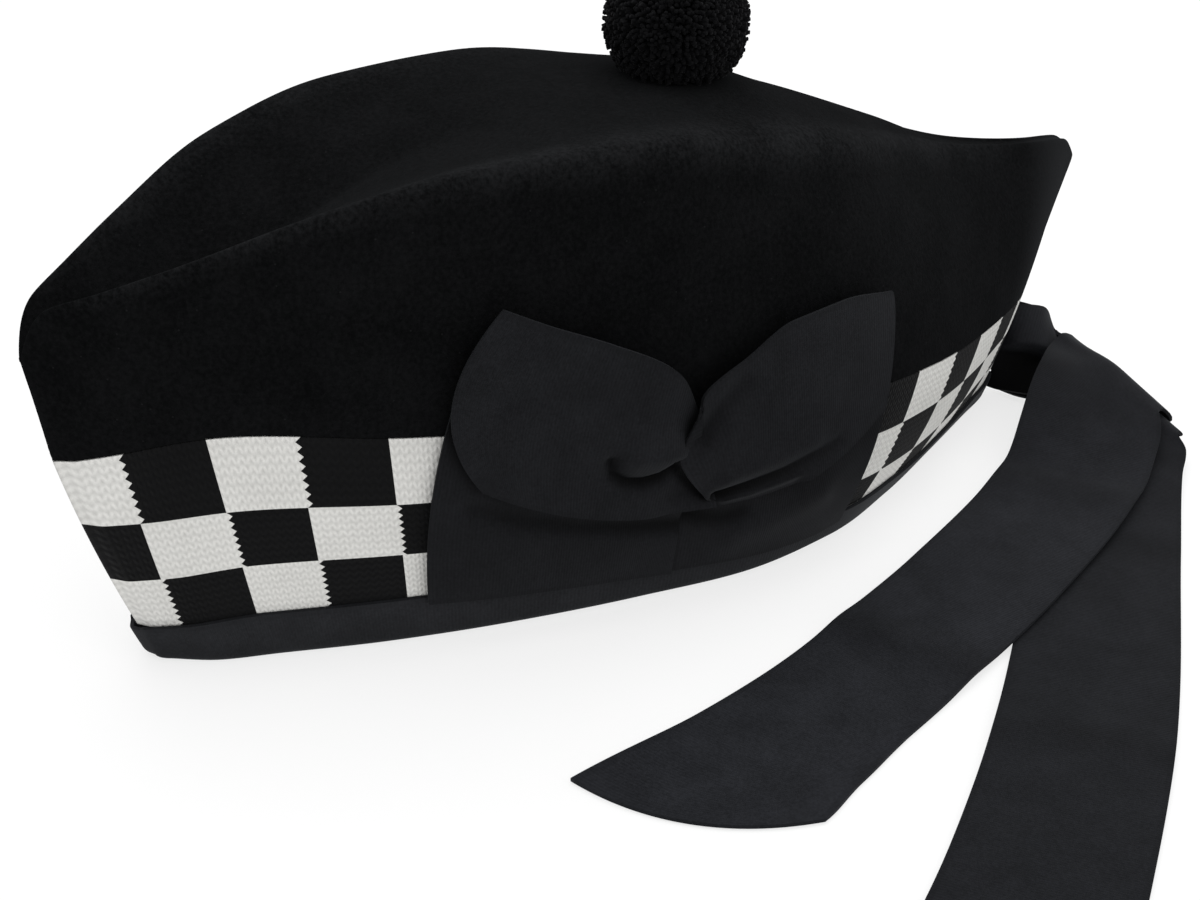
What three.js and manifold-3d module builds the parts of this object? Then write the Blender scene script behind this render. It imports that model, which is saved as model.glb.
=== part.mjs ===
// A glengarry: a boat-shaped wool cap lying on its rim, with a diced band, a bound edge,
// a ribbon rosette on the wearer's left, a toorie on the crown and two ribbon tails at the back.
// Millimetres, +Z up. The front of the cap faces -Y and the wearer's left side faces +X.
// The origin is the middle of the head opening, at the level of the rim.

import * as THREE from 'three';
import { mergeVertices } from 'three/addons/utils/BufferGeometryUtils.js';
import Module from 'manifold-3d';

const wasm = await Module();
wasm.setup();

// Driving dimensions of the cap
const RIM_HALF_LENGTH = 131.5;
const RIM_MIDDLE_Y = -1;
const RIDGE_HALF_LENGTH = 157.3;
const RIDGE_MIDDLE_Y = 2.3;
const FRONT_BOW = 2.5;
const CAP_HALF_WIDTH = 46;
const WOOL_WALL = 2.5;
const BAND_WALL = 2.2;
const CROWN_WALL = 3.2;
const TIP_WALL = 7.5;
const TIP_FROM = 0.55;
const END_WALL_RATIO = 1.8;
const BINDING_LEAF = 0.9;
const GAP = 0.3;

// Driving dimensions of the ribbons and the toorie
const RIBBON_THICK = 0.9;
const ROSETTE_ALONG = -0.061;
const ROSETTE_UP = 34;
const SIDE_SPAN = 145;
const PLEATS = 2;
const TOORIE_MIDDLE = new THREE.Vector3(0, 16.5, 131.5);
const TOORIE_CORE = 15.4;
const LOCKS = 46;
const LOCK_RADIUS = 5;
const LOCK_REACH = 13.7;

// Mesh steps
const STATIONS = 40;
const BAND_ROWS = 3;
const WOOL_ROWS = 6;
const CROWN_STEPS = 5;
const ARC_STEPS = 30;
const SKIN_STEP = 0.01;
const WING_STEPS = 8;
const WING_ACROSS = 8;
const TAIL_STEPS = 40;
const TAIL_ACROSS = 4;
const BED_STEPS = 12;
const BED_REACH = 26;
const BED_DEPTH = 30;

// Sections of the cap from the front tip (-1) to the back tip (+1).
// rim, belly and ridge are half widths, ridgeHigh and creaseHigh are heights above the table,
// arch is 1 for a crown that is a sharp valley and 2 for one that is a round hump.
const SECTIONS = [
  { along: -1.00, rim: 0, belly: 0, ridge: 0, ridgeHigh: 81, creaseHigh: 80.5, arch: 1.0 },
  { along: -0.985, rim: 3.4, belly: 4.8, ridge: 2.8, ridgeHigh: 91, creaseHigh: 86, arch: 1.0 },
  { along: -0.97, rim: 5, belly: 7, ridge: 4, ridgeHigh: 94.5, creaseHigh: 88, arch: 1.0 },
  { along: -0.90, rim: 11.5, belly: 15, ridge: 11, ridgeHigh: 99, creaseHigh: 87, arch: 1.0 },
  { along: -0.80, rim: 16.5, belly: 23, ridge: 20, ridgeHigh: 105.3, creaseHigh: 88, arch: 1.1 },
  { along: -0.62, rim: 25.5, belly: 34, ridge: 33, ridgeHigh: 115.5, creaseHigh: 98, arch: 1.1 },
  { along: -0.40, rim: 34, belly: 43, ridge: 41, ridgeHigh: 121, creaseHigh: 111, arch: 1.2 },
  { along: -0.15, rim: 41, belly: 49.5, ridge: 45, ridgeHigh: 120, creaseHigh: 119.5, arch: 1.5 },
  { along: 0.10, rim: 45.5, belly: 52, ridge: 40, ridgeHigh: 111.5, creaseHigh: 119.5, arch: 2.0 },
  { along: 0.30, rim: 42.5, belly: 50, ridge: 31, ridgeHigh: 103.5, creaseHigh: 109, arch: 2.0 },
  { along: 0.50, rim: 33, belly: 41, ridge: 15, ridgeHigh: 92.5, creaseHigh: 96, arch: 2.0 },
  { along: 0.70, rim: 20.5, belly: 28, ridge: 4.5, ridgeHigh: 82.5, creaseHigh: 82.2, arch: 1.6 },
  { along: 0.87, rim: 9.5, belly: 15, ridge: 2.5, ridgeHigh: 77.5, creaseHigh: 77.2, arch: 1.2 },
  { along: 0.96, rim: 3.8, belly: 7, ridge: 2, ridgeHigh: 76, creaseHigh: 75.8, arch: 1.0 },
  { along: 1.00, rim: 0, belly: 0, ridge: 0, ridgeHigh: 69, creaseHigh: 69, arch: 1.0 },
];

// Top edges of the binding and of the diced band, measured up the cloth from the rim
const EDGES = [
  { along: -1.00, bound: 10, diced: 60 },
  { along: -0.80, bound: 14.3, diced: 66 },
  { along: -0.55, bound: 13.7, diced: 60.8 },
  { along: 0.10, bound: 10, diced: 50 },
  { along: 0.60, bound: 7.2, diced: 41 },
  { along: 1.00, bound: 6.5, diced: 34.5 },
];

// Rosette wings, a row for each rib from the stitched middle (0) to the free end (1).
// topSide, topUp and lowSide, lowUp place the two edges on the side of the cap, measured from the
// middle of the rosette; lift stands the ribbon off the cap; bow pushes the line between the edges
// out, and a skew below 1 moves that push towards the upper edge.
const WINGS = [
  {
    name: 'rosette_lower_left',
    pleat: 0.1,
    skew: 1,
    ribs: [
      { out: 0.00, topSide: -5, topUp: 3, lowSide: -6, lowUp: -25, lift: 3.3, bow: 0 },
      { out: 0.25, topSide: -16, topUp: 9, lowSide: -18, lowUp: -24, lift: 3, bow: 0 },
      { out: 0.50, topSide: -32, topUp: 13, lowSide: -34, lowUp: -23, lift: 2.9, bow: 0 },
      { out: 0.75, topSide: -48, topUp: 16, lowSide: -51, lowUp: -22.2, lift: 2.7, bow: 0 },
      { out: 1.00, topSide: -61, topUp: 36, lowSide: -70.7, lowUp: -21, lift: 2.3, bow: 2.5 },
    ],
  },
  {
    name: 'rosette_lower_right',
    pleat: 0.1,
    skew: 1,
    ribs: [
      { out: 0.00, topSide: -9, topUp: 2, lowSide: -10, lowUp: -25, lift: 2, bow: 0 },
      { out: 0.25, topSide: 9, topUp: 3, lowSide: 9, lowUp: -25.8, lift: 2.3, bow: 0 },
      { out: 0.50, topSide: 25, topUp: 4.5, lowSide: 25, lowUp: -26.4, lift: 2.6, bow: 0 },
      { out: 0.75, topSide: 41, topUp: 8, lowSide: 39, lowUp: -26.6, lift: 2.7, bow: 0 },
      { out: 1.00, topSide: 55.6, topUp: 14, lowSide: 50, lowUp: -25.5, lift: 2.5, bow: 1.5 },
    ],
  },
  {
    name: 'rosette_upper_left',
    pleat: 0.4,
    skew: 1,
    ribs: [
      { out: 0.00, topSide: -1, topUp: 14, lowSide: 3, lowUp: -5, lift: 4.9, bow: 0 },
      { out: 0.12, topSide: -5, topUp: 24, lowSide: -8, lowUp: -4, lift: 4.9, bow: 0 },
      { out: 0.25, topSide: -11, topUp: 35, lowSide: -19, lowUp: -2, lift: 6.8, bow: 0 },
      { out: 0.50, topSide: -27, topUp: 46, lowSide: -36, lowUp: 3, lift: 7.5, bow: 2 },
      { out: 0.75, topSide: -41, topUp: 53, lowSide: -50, lowUp: 9, lift: 6.5, bow: 5 },
      { out: 1.00, topSide: -50, topUp: 58, lowSide: -57, lowUp: 13, lift: 5.5, bow: 9 },
    ],
  },
  {
    name: 'rosette_upper_right',
    pleat: 0.3,
    skew: 0.5,
    ribs: [
      { out: 0.00, topSide: -4, topUp: 17, lowSide: 1.5, lowUp: -3.5, lift: 7.2, bow: -7 },
      { out: 0.10, topSide: -5, topUp: 26.5, lowSide: 4.5, lowUp: -5, lift: 7.1, bow: 0 },
      { out: 0.25, topSide: 6, topUp: 34, lowSide: 12, lowUp: -5, lift: 7, bow: 0 },
      { out: 0.50, topSide: 20, topUp: 40, lowSide: 25, lowUp: -3.8, lift: 7, bow: 0 },
      { out: 0.75, topSide: 35, topUp: 40.5, lowSide: 39, lowUp: 1, lift: 6.5, bow: 0 },
      { out: 1.00, topSide: 52, topUp: 38, lowSide: 52.5, lowUp: 9, lift: 5.5, bow: 1 },
    ],
  },
];

// Ribbon tails, a row for each cross line from the stitched root to the free end.
// run is the distance walked along the ribbon, x, y and z the middle of the cross line,
// turn its heading in plan and tilt its slope in degrees, span its length,
// bow the bulge of a cut end.
const TAILS = [
  {
    name: 'tail_upper',
    lines: [
      { run: 0, x: -0.7, y: 141.5, z: 14.5, turn: -90, tilt: -68, span: 27, bow: 0 },
      { run: 14, x: 5, y: 149.6, z: 8.2, turn: -45, tilt: -28, span: 31, bow: 0 },
      { run: 28, x: 23, y: 154.5, z: 8, turn: -10, tilt: -18, span: 44, bow: 0 },
      { run: 34, x: 30, y: 158, z: 11, turn: -4, tilt: -14, span: 46, bow: 0 },
      { run: 40, x: 30.5, y: 152.5, z: 15.8, turn: -3, tilt: -13, span: 45.5, bow: 0 },
      { run: 58, x: 38, y: 141, z: 13, turn: 14, tilt: -9, span: 41, bow: 0 },
      { run: 80, x: 48.5, y: 127, z: 8.5, turn: 32, tilt: -4, span: 39, bow: 0 },
      { run: 100, x: 60, y: 110, z: 4, turn: 33, tilt: 0, span: 38.5, bow: 0 },
      { run: 160, x: 85, y: 54, z: 2.3, turn: 24, tilt: 0, span: 38.5, bow: 0 },
      { run: 180, x: 92, y: 35, z: 2, turn: 21, tilt: 0, span: 38.5, bow: 0 },
      { run: 222, x: 104.5, y: -4, z: 0.7, turn: 14, tilt: 0, span: 39, bow: 0 },
      { run: 250, x: 112, y: -30, z: 0.7, turn: 24, tilt: 0, span: 43, bow: 2 },
      { run: 278, x: 117.5, y: -56, z: 0.7, turn: 43, tilt: 0, span: 56, bow: 8 },
    ],
  },
  {
    name: 'tail_lower',
    lines: [
      { run: 0, x: 0.7, y: 139.45, z: 14.5, turn: -90, tilt: -68, span: 27, bow: 0 },
      { run: 14, x: 8, y: 148.6, z: 10.6, turn: -45, tilt: -28, span: 31, bow: 0 },
      { run: 27, x: 26.5, y: 152.6, z: 9.2, turn: -7, tilt: -17, span: 43, bow: 0 },
      { run: 33, x: 35.5, y: 155.5, z: 9.3, turn: -2, tilt: -14, span: 47, bow: 0 },
      { run: 38, x: 36, y: 152.3, z: 11.5, turn: -1, tilt: -13, span: 47, bow: 0 },
      { run: 56, x: 47, y: 140, z: 7, turn: 22, tilt: -8, span: 42, bow: 0 },
      { run: 76, x: 59, y: 126, z: 3, turn: 40, tilt: -2, span: 39, bow: 0 },
      { run: 120, x: 89, y: 94, z: 0.7, turn: 44, tilt: 0, span: 38.5, bow: 0 },
      { run: 200, x: 143, y: 34, z: 0.7, turn: 40, tilt: 0, span: 40, bow: 0 },
      { run: 250, x: 175, y: -8, z: 0.7, turn: 35, tilt: 0, span: 41, bow: 0 },
      { run: 276, x: 190, y: -30, z: 0.7, turn: 42, tilt: 0, span: 43, bow: 2 },
      { run: 300, x: 202, y: -50, z: 0.7, turn: 64, tilt: 0, span: 55, bow: 7 },
    ],
  },
];

// A smooth curve through one column of a table, without overshoot between its rows
function track(rows, place, column) {
  const at = rows.map((row) => row[place]);
  const to = rows.map((row) => row[column]);
  const last = at.length - 1;
  const chord = at.slice(1).map((value, i) => (to[i + 1] - to[i]) / (value - at[i]));
  const slope = at.map((value, i) => {
    if (i === 0) return chord[0];
    if (i === last) return chord[last - 1];
    const before = chord[i - 1];
    const after = chord[i];
    return before * after <= 0 ? 0 : (2 * before * after) / (before + after);
  });
  return (value) => {
    let i = 0;
    while (i < last - 1 && value > at[i + 1]) i += 1;
    const step = at[i + 1] - at[i];
    const t = THREE.MathUtils.clamp((value - at[i]) / step, 0, 1);
    const rise = to[i + 1] - to[i];
    const startBend = slope[i] * step - rise;
    const endBend = rise - slope[i + 1] * step;
    return to[i] + t * rise + t * (1 - t) * ((1 - t) * startBend + t * endBend);
  };
}

const sectionTrack = (column) => track(SECTIONS, 'along', column);
const rimHalf = sectionTrack('rim');
const bellyHalf = sectionTrack('belly');
const ridgeHalf = sectionTrack('ridge');
const ridgeHigh = sectionTrack('ridgeHigh');
const creaseHigh = sectionTrack('creaseHigh');
const crownArch = sectionTrack('arch');
const boundTop = track(EDGES, 'along', 'bound');
const dicedTop = track(EDGES, 'along', 'diced');

// The left side of the cap's outer skin: level 0 is the rim and level 1 the ridge
function sideSkin(along, level) {
  const rim = rimHalf(along);
  const ridge = ridgeHalf(along);
  const pull = 2 * bellyHalf(along) - (rim + ridge) / 2;
  const down = 1 - level;
  const x = rim * down * down + 2 * pull * down * level + ridge * level * level;
  const rimY = RIM_MIDDLE_Y + RIM_HALF_LENGTH * along;
  const ridgeY = RIDGE_MIDDLE_Y + RIDGE_HALF_LENGTH * along;
  const bow = Math.min(along, 0) * FRONT_BOW;
  const y = THREE.MathUtils.lerp(rimY, ridgeY, level) + 4 * bow * level * down;
  return new THREE.Vector3(x, y, ridgeHigh(along) * level);
}

// The level that lies a given distance up the side, measured along the cloth from the rim
function levelAt(along, distance) {
  let walked = 0;
  let previous = sideSkin(along, 0);
  for (let i = 1; i <= ARC_STEPS; i += 1) {
    const next = sideSkin(along, i / ARC_STEPS);
    const step = next.distanceTo(previous);
    if (walked + step >= distance) return (i - 1 + (distance - walked) / step) / ARC_STEPS;
    walked += step;
    previous = next;
  }
  return 1;
}

// The crown between the ridges: across is 1 at the left ridge, 0 at the crease, -1 at the right ridge
function crownSkin(along, across) {
  const ridge = sideSkin(along, 1);
  const toCrease = 1 - Math.abs(across) ** crownArch(along);
  const z = THREE.MathUtils.lerp(ridge.z, creaseHigh(along), toCrease);
  return new THREE.Vector3(ridge.x * across, ridge.y, z);
}

// A point moved into the wall: the plan shrinks towards the middle and the crown drops
function inward(point, wall, drop) {
  const widthScale = 1 - wall / CAP_HALF_WIDTH;
  const lengthScale = 1 - (wall * END_WALL_RATIO) / RIM_HALF_LENGTH;
  return new THREE.Vector3(point.x * widthScale, point.y * lengthScale, point.z - drop);
}

// Stations from the front tip to the back tip, close together at both ends
const stations = Array.from({ length: STATIONS + 1 }, (unused, i) => {
  return -Math.cos((Math.PI * i) / STATIONS);
});

// A closed loop round the cap: along the left side from front to back, then back along the right side
function loopOf(pointAt) {
  const left = stations.map((along) => pointAt(along));
  const right = left.slice(1, -1).reverse();
  return [...left, ...right.map((point) => new THREE.Vector3(-point.x, point.y, point.z))];
}

// The loop that runs a given distance up the cloth, moved into the wall
function loopAt(distanceAt, wall) {
  return loopOf((along) => inward(sideSkin(along, levelAt(along, distanceAt(along))), wall, 0));
}

// A geometry from shared points and triangles, with its faces turned outwards
function solidFrom(points, triangles) {
  let volume = 0;
  triangles.forEach(([a, b, c]) => {
    volume += points[a].dot(points[b].clone().cross(points[c]));
  });
  const facing = volume > 0 ? triangles : triangles.map(([a, b, c]) => [a, c, b]);
  const geometry = new THREE.BufferGeometry();
  const places = points.flatMap((point) => point.toArray());
  geometry.setAttribute('position', new THREE.Float32BufferAttribute(places, 3));
  geometry.setIndex(facing.flat());
  return geometry;
}

// A ring whose section is the closed chain of loops
function ringSolid(loops) {
  const size = loops[0].length;
  const triangles = [];
  loops.forEach((loop, row) => {
    const nextRow = (row + 1) % loops.length;
    for (let i = 0; i < size; i += 1) {
      const next = (i + 1) % size;
      const corners = [row * size + i, row * size + next, nextRow * size + next, nextRow * size + i];
      triangles.push([corners[0], corners[1], corners[2]], [corners[0], corners[2], corners[3]]);
    }
  });
  return solidFrom(loops.flat(), triangles);
}

// Wool body: the sides above the band and the sunken crown, one felted piece
function woolBody() {
  const points = [];
  const triangles = [];
  const quad = (a, b, c, d, flip) => {
    const faces = flip ? [[a, c, b], [a, d, c]] : [[a, b, c], [a, c, d]];
    triangles.push(...faces.filter(([p, q, r]) => p !== q && q !== r && p !== r));
  };
  const add = (point) => points.push(point) - 1;
  const tipDrop = (along) => {
    const near = THREE.MathUtils.smoothstep(Math.abs(along), TIP_FROM, 1);
    return THREE.MathUtils.lerp(CROWN_WALL, TIP_WALL, near);
  };
  const skin = (inner) => {
    const wall = inner ? WOOL_WALL : 0;
    const rows = [];
    for (let row = 0; row <= WOOL_ROWS; row += 1) {
      const share = row / WOOL_ROWS;
      const loop = loopOf((along) => {
        const foot = levelAt(along, dicedTop(along) + GAP);
        const point = sideSkin(along, THREE.MathUtils.lerp(foot, 1, share));
        return inward(point, wall, inner ? tipDrop(along) * share * share : 0);
      });
      rows.push(loop.map(add));
    }
    for (let row = 0; row < WOOL_ROWS; row += 1) {
      rows[row].forEach((start, i) => {
        const next = (i + 1) % rows[row].length;
        quad(start, rows[row][next], rows[row + 1][next], rows[row + 1][i], inner);
      });
    }
    const top = rows[WOOL_ROWS];
    const across = stations.map((along, i) => {
      const atTip = i === 0 || i === STATIONS;
      const count = 2 * CROWN_STEPS - 1;
      const steps = Array.from({ length: count }, (unused, k) => 1 - (k + 1) / CROWN_STEPS);
      const left = top[i];
      const right = atTip ? top[i] : top[top.length - i];
      const middle = steps.map((share) => {
        if (atTip) return left;
        return add(inward(crownSkin(along, share), wall, inner ? tipDrop(along) : 0));
      });
      return [left, ...middle, right];
    });
    for (let i = 0; i < STATIONS; i += 1) {
      for (let k = 0; k < 2 * CROWN_STEPS; k += 1) {
        quad(across[i][k], across[i + 1][k], across[i + 1][k + 1], across[i][k + 1], inner);
      }
    }
    return rows[0];
  };
  const outerFoot = skin(false);
  const innerFoot = skin(true);
  outerFoot.forEach((start, i) => {
    const next = (i + 1) % outerFoot.length;
    quad(outerFoot[next], start, innerFoot[i], innerFoot[next], false);
  });
  return solidFrom(points, triangles);
}

// Diced band: the knitted wall between the binding and the wool
function dicedBand() {
  const bottom = () => BINDING_LEAF + GAP;
  const rows = Array.from({ length: BAND_ROWS + 1 }, (unused, i) => i / BAND_ROWS);
  const checks = rows.map((share) => (along) => {
    return THREE.MathUtils.lerp(boundTop(along), dicedTop(along), share);
  });
  const heights = [bottom, ...checks];
  const outer = heights.map((height) => loopAt(height, 0));
  const inner = heights.map((height) => loopAt(height, BAND_WALL)).reverse();
  return ringSolid([...outer, ...inner]);
}

// Rim binding: ribbon folded round the lower edge of the band
function rimBinding() {
  const outside = -GAP - BINDING_LEAF;
  const inside = BAND_WALL + GAP + BINDING_LEAF;
  const base = () => 0;
  const fold = () => BINDING_LEAF;
  return ringSolid([
    loopAt(base, outside),
    loopAt(boundTop, outside),
    loopAt(boundTop, -GAP),
    loopAt(fold, -GAP),
    loopAt(fold, BAND_WALL + GAP),
    loopAt(boundTop, BAND_WALL + GAP),
    loopAt(boundTop, inside),
    loopAt(base, inside),
  ]);
}

// A slab between two grids of points, the upper one first
function slabBetween(points, rows, columns) {
  const top = (i, j) => i * columns + j;
  const under = (i, j) => rows * columns + i * columns + j;
  const triangles = [];
  const quad = (a, b, c, d) => triangles.push([a, b, c], [a, c, d]);
  for (let i = 0; i < rows - 1; i += 1) {
    for (let j = 0; j < columns - 1; j += 1) {
      quad(top(i, j), top(i + 1, j), top(i + 1, j + 1), top(i, j + 1));
      quad(under(i, j), under(i, j + 1), under(i + 1, j + 1), under(i + 1, j));
    }
    quad(top(i, 0), under(i, 0), under(i + 1, 0), top(i + 1, 0));
    quad(top(i, columns - 1), top(i + 1, columns - 1), under(i + 1, columns - 1), under(i, columns - 1));
  }
  for (let j = 0; j < columns - 1; j += 1) {
    quad(top(0, j), top(0, j + 1), under(0, j + 1), under(0, j));
    quad(top(rows - 1, j), under(rows - 1, j), under(rows - 1, j + 1), top(rows - 1, j + 1));
  }
  return solidFrom(points, triangles);
}

// A thin sheet: a grid of points on its middle surface, thickened along its normals
function sheetSolid(grid, thickness) {
  const rows = grid.length;
  const columns = grid[0].length;
  const at = (i, j) => {
    const row = THREE.MathUtils.clamp(i, 0, rows - 1);
    return grid[row][THREE.MathUtils.clamp(j, 0, columns - 1)];
  };
  const normalAt = (i, j) => {
    const lengthways = at(i + 1, j).clone().sub(at(i - 1, j));
    const crossways = at(i, j + 1).clone().sub(at(i, j - 1));
    return lengthways.cross(crossways).normalize();
  };
  const points = [];
  [0.5, -0.5].forEach((side) => {
    grid.forEach((row, i) => row.forEach((point, j) => {
      points.push(point.clone().addScaledVector(normalAt(i, j), side * thickness));
    }));
  });
  return slabBetween(points, rows, columns);
}

// A point on the left side of the cap, up the cloth from the rim, standing off by a lift
function onSide(along, up, lift) {
  const level = levelAt(along, up);
  const lengthways = sideSkin(along + SKIN_STEP, level).sub(sideSkin(along - SKIN_STEP, level));
  const upwards = sideSkin(along, level + SKIN_STEP).sub(sideSkin(along, level - SKIN_STEP));
  const normal = lengthways.cross(upwards).normalize();
  return sideSkin(along, level).addScaledVector(normal, lift);
}

// Rosette wing: a gathered ribbon end that puffs off the cap between its two edges
function rosetteWing(wing) {
  const rib = (column) => track(wing.ribs, 'out', column);
  const [topSide, topUp, lowSide, lowUp, lift, bow] =
    ['topSide', 'topUp', 'lowSide', 'lowUp', 'lift', 'bow'].map(rib);
  const outward = Math.sign(wing.ribs[wing.ribs.length - 1].topSide);
  const grid = [];
  for (let i = 0; i <= WING_STEPS; i += 1) {
    const out = i / WING_STEPS;
    const row = [];
    for (let j = 0; j <= WING_ACROSS; j += 1) {
      const share = j / WING_ACROSS;
      const skewed = share ** wing.skew;
      const bulge = 4 * skewed * (1 - skewed);
      const edge = THREE.MathUtils.lerp(topSide(out), lowSide(out), share);
      const side = edge + outward * bow(out) * bulge;
      const up = THREE.MathUtils.lerp(topUp(out), lowUp(out), share);
      const pleat = wing.pleat * (1 - out) * Math.cos(2 * Math.PI * PLEATS * share);
      row.push(onSide(ROSETTE_ALONG + side / SIDE_SPAN, ROSETTE_UP + up, lift(out) + pleat));
    }
    grid.push(row);
  }
  return sheetSolid(grid, RIBBON_THICK);
}

// Ribbon tail: cross lines swept from the back seam, over a fold and along the table
function ribbonTail(tail) {
  const line = (column) => track(tail.lines, 'run', column);
  const [x, y, z, turn, tilt, span, bow] = ['x', 'y', 'z', 'turn', 'tilt', 'span', 'bow'].map(line);
  const length = tail.lines[tail.lines.length - 1].run;
  const grid = [];
  for (let i = 0; i <= TAIL_STEPS; i += 1) {
    const run = (length * i) / TAIL_STEPS;
    const heading = THREE.MathUtils.degToRad(turn(run));
    const slope = THREE.MathUtils.degToRad(tilt(run));
    const across = new THREE.Vector3(
      Math.cos(heading) * Math.cos(slope),
      Math.sin(heading) * Math.cos(slope),
      Math.sin(slope),
    );
    const middle = new THREE.Vector3(x(run), y(run), z(run));
    const onward = new THREE.Vector3(across.y, -across.x, 0).normalize();
    const row = [];
    for (let j = 0; j <= TAIL_ACROSS; j += 1) {
      const share = j / TAIL_ACROSS;
      const point = middle.clone().addScaledVector(across, span(run) * (share - 0.5));
      row.push(point.addScaledVector(onward, 4 * bow(run) * share * (1 - share)));
    }
    grid.push(row);
  }
  return sheetSolid(grid, RIBBON_THICK);
}

// The space under the crown, raised by the gap that the toorie keeps to it
function crownBed() {
  const grid = [];
  for (let i = 0; i <= BED_STEPS; i += 1) {
    const row = [];
    const y = TOORIE_MIDDLE.y + BED_REACH * ((2 * i) / BED_STEPS - 1);
    const along = (y - RIDGE_MIDDLE_Y) / RIDGE_HALF_LENGTH;
    for (let j = 0; j <= BED_STEPS; j += 1) {
      const across = 1 - (2 * j) / BED_STEPS;
      const point = crownSkin(along, across);
      row.push(point.setZ(point.z + GAP - BED_DEPTH / 2));
    }
    grid.push(row);
  }
  const points = [];
  [0.5, -0.5].forEach((side) => grid.flat().forEach((point) => {
    points.push(point.clone().setZ(point.z + side * BED_DEPTH));
  }));
  return slabBetween(points, BED_STEPS + 1, BED_STEPS + 1);
}

// A closed geometry as a solid that can be joined and cut, and back again
function toManifold(geometry) {
  const bare = geometry.clone();
  bare.deleteAttribute('normal');
  bare.deleteAttribute('uv');
  const merged = mergeVertices(bare);
  return new wasm.Manifold(new wasm.Mesh({
    numProp: 3,
    vertProperties: new Float32Array(merged.getAttribute('position').array),
    triVerts: new Uint32Array(merged.index.array),
  }));
}

function toGeometry(manifold) {
  const mesh = manifold.getMesh();
  const geometry = new THREE.BufferGeometry();
  const places = Array.from(mesh.vertProperties);
  geometry.setAttribute('position', new THREE.Float32BufferAttribute(places, 3));
  geometry.setIndex(Array.from(mesh.triVerts));
  return geometry;
}

// Toorie: a wool ball with tufts all round, flattened where it sits on the crown
function toorie() {
  let ball = toManifold(new THREE.IcosahedronGeometry(TOORIE_CORE, 1));
  const goldenTurn = Math.PI * (3 - Math.sqrt(5));
  for (let i = 0; i < LOCKS; i += 1) {
    const height = 1 - (2 * (i + 0.5)) / LOCKS;
    const reach = Math.sqrt(1 - height * height);
    const lock = new THREE.IcosahedronGeometry(LOCK_RADIUS, 0);
    lock.rotateX(i);
    lock.translate(
      LOCK_REACH * reach * Math.cos(goldenTurn * i),
      LOCK_REACH * reach * Math.sin(goldenTurn * i),
      LOCK_REACH * height,
    );
    ball = ball.add(toManifold(lock));
  }
  const seat = ball.translate(TOORIE_MIDDLE.toArray()).subtract(toManifold(crownBed()));
  return toGeometry(seat);
}

const WOOL = { color: 0x141518, roughness: 0.95, metalness: 0 };
const KNIT = { color: 0xd8d6d0, roughness: 0.9, metalness: 0 };
const RIBBON = { color: 0x26272b, roughness: 0.7, metalness: 0 };

function piece(name, geometry, look) {
  const mesh = new THREE.Mesh(geometry, new THREE.MeshStandardMaterial(look));
  mesh.name = name;
  return mesh;
}

const glengarry = new THREE.Group();
glengarry.add(piece('wool_body', woolBody(), WOOL));
glengarry.add(piece('diced_band', dicedBand(), KNIT));
glengarry.add(piece('rim_binding', rimBinding(), RIBBON));
WINGS.forEach((wing) => glengarry.add(piece(wing.name, rosetteWing(wing), RIBBON)));
glengarry.add(piece('toorie', toorie(), WOOL));
TAILS.forEach((tail) => glengarry.add(piece(tail.name, ribbonTail(tail), RIBBON)));

export default glengarry;
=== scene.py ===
# %% [markdown]
# A glengarry lies on a table: a boat-shaped cap of black felted wool, with a knitted diced band,
# a ribbon-bound rim, a ribbon rosette on the wearer's left, a yarn toorie and two ribbon tails.
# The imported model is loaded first, because every piece made here sits exactly where its solid is.

import bisect
import functools
import math
import random

import bmesh
import bpy
from mathutils import Matrix, Vector


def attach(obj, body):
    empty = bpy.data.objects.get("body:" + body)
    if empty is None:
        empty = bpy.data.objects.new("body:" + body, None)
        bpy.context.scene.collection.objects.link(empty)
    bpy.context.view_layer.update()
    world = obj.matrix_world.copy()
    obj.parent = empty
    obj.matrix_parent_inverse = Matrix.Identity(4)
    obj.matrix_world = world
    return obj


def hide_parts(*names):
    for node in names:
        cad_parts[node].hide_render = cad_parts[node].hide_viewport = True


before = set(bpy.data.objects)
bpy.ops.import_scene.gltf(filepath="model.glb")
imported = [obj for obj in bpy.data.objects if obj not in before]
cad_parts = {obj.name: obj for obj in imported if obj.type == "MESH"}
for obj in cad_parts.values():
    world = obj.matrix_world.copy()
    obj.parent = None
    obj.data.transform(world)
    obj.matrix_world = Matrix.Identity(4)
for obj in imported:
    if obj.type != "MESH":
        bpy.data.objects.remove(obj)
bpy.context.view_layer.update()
MM = 0.001
print("solids loaded:", sorted(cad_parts))

# %% [markdown]
# The camera stands on the cap's left, a little in front of it and above the table. It could be moved
# by hand until the picture looks right; here its place, its two angles and its lens are plain numbers,
# fitted to the outline of the cap in the photograph, so the picture comes out the same each time.

# %% Camera
CAMERA_PLACE = Vector((396.9, -258.5, 269.0)) * MM
CAMERA_AZIMUTH = math.radians(57.5)
CAMERA_ELEVATION = math.radians(28.0)
LENS_MM = 60.0
SENSOR_MM = 36.0

camera_data = bpy.data.cameras.new("camera")
camera_data.lens = LENS_MM
camera_data.sensor_width = SENSOR_MM
camera = bpy.data.objects.new("camera", camera_data)
bpy.context.collection.objects.link(camera)
towards_camera = Vector((
    math.sin(CAMERA_AZIMUTH) * math.cos(CAMERA_ELEVATION),
    -math.cos(CAMERA_AZIMUTH) * math.cos(CAMERA_ELEVATION),
    math.sin(CAMERA_ELEVATION),
))
camera.location = CAMERA_PLACE
camera.rotation_euler = (-towards_camera).to_track_quat("-Z", "Y").to_euler()
bpy.context.scene.camera = camera
print("camera at", [round(value, 3) for value in camera.location])

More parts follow.
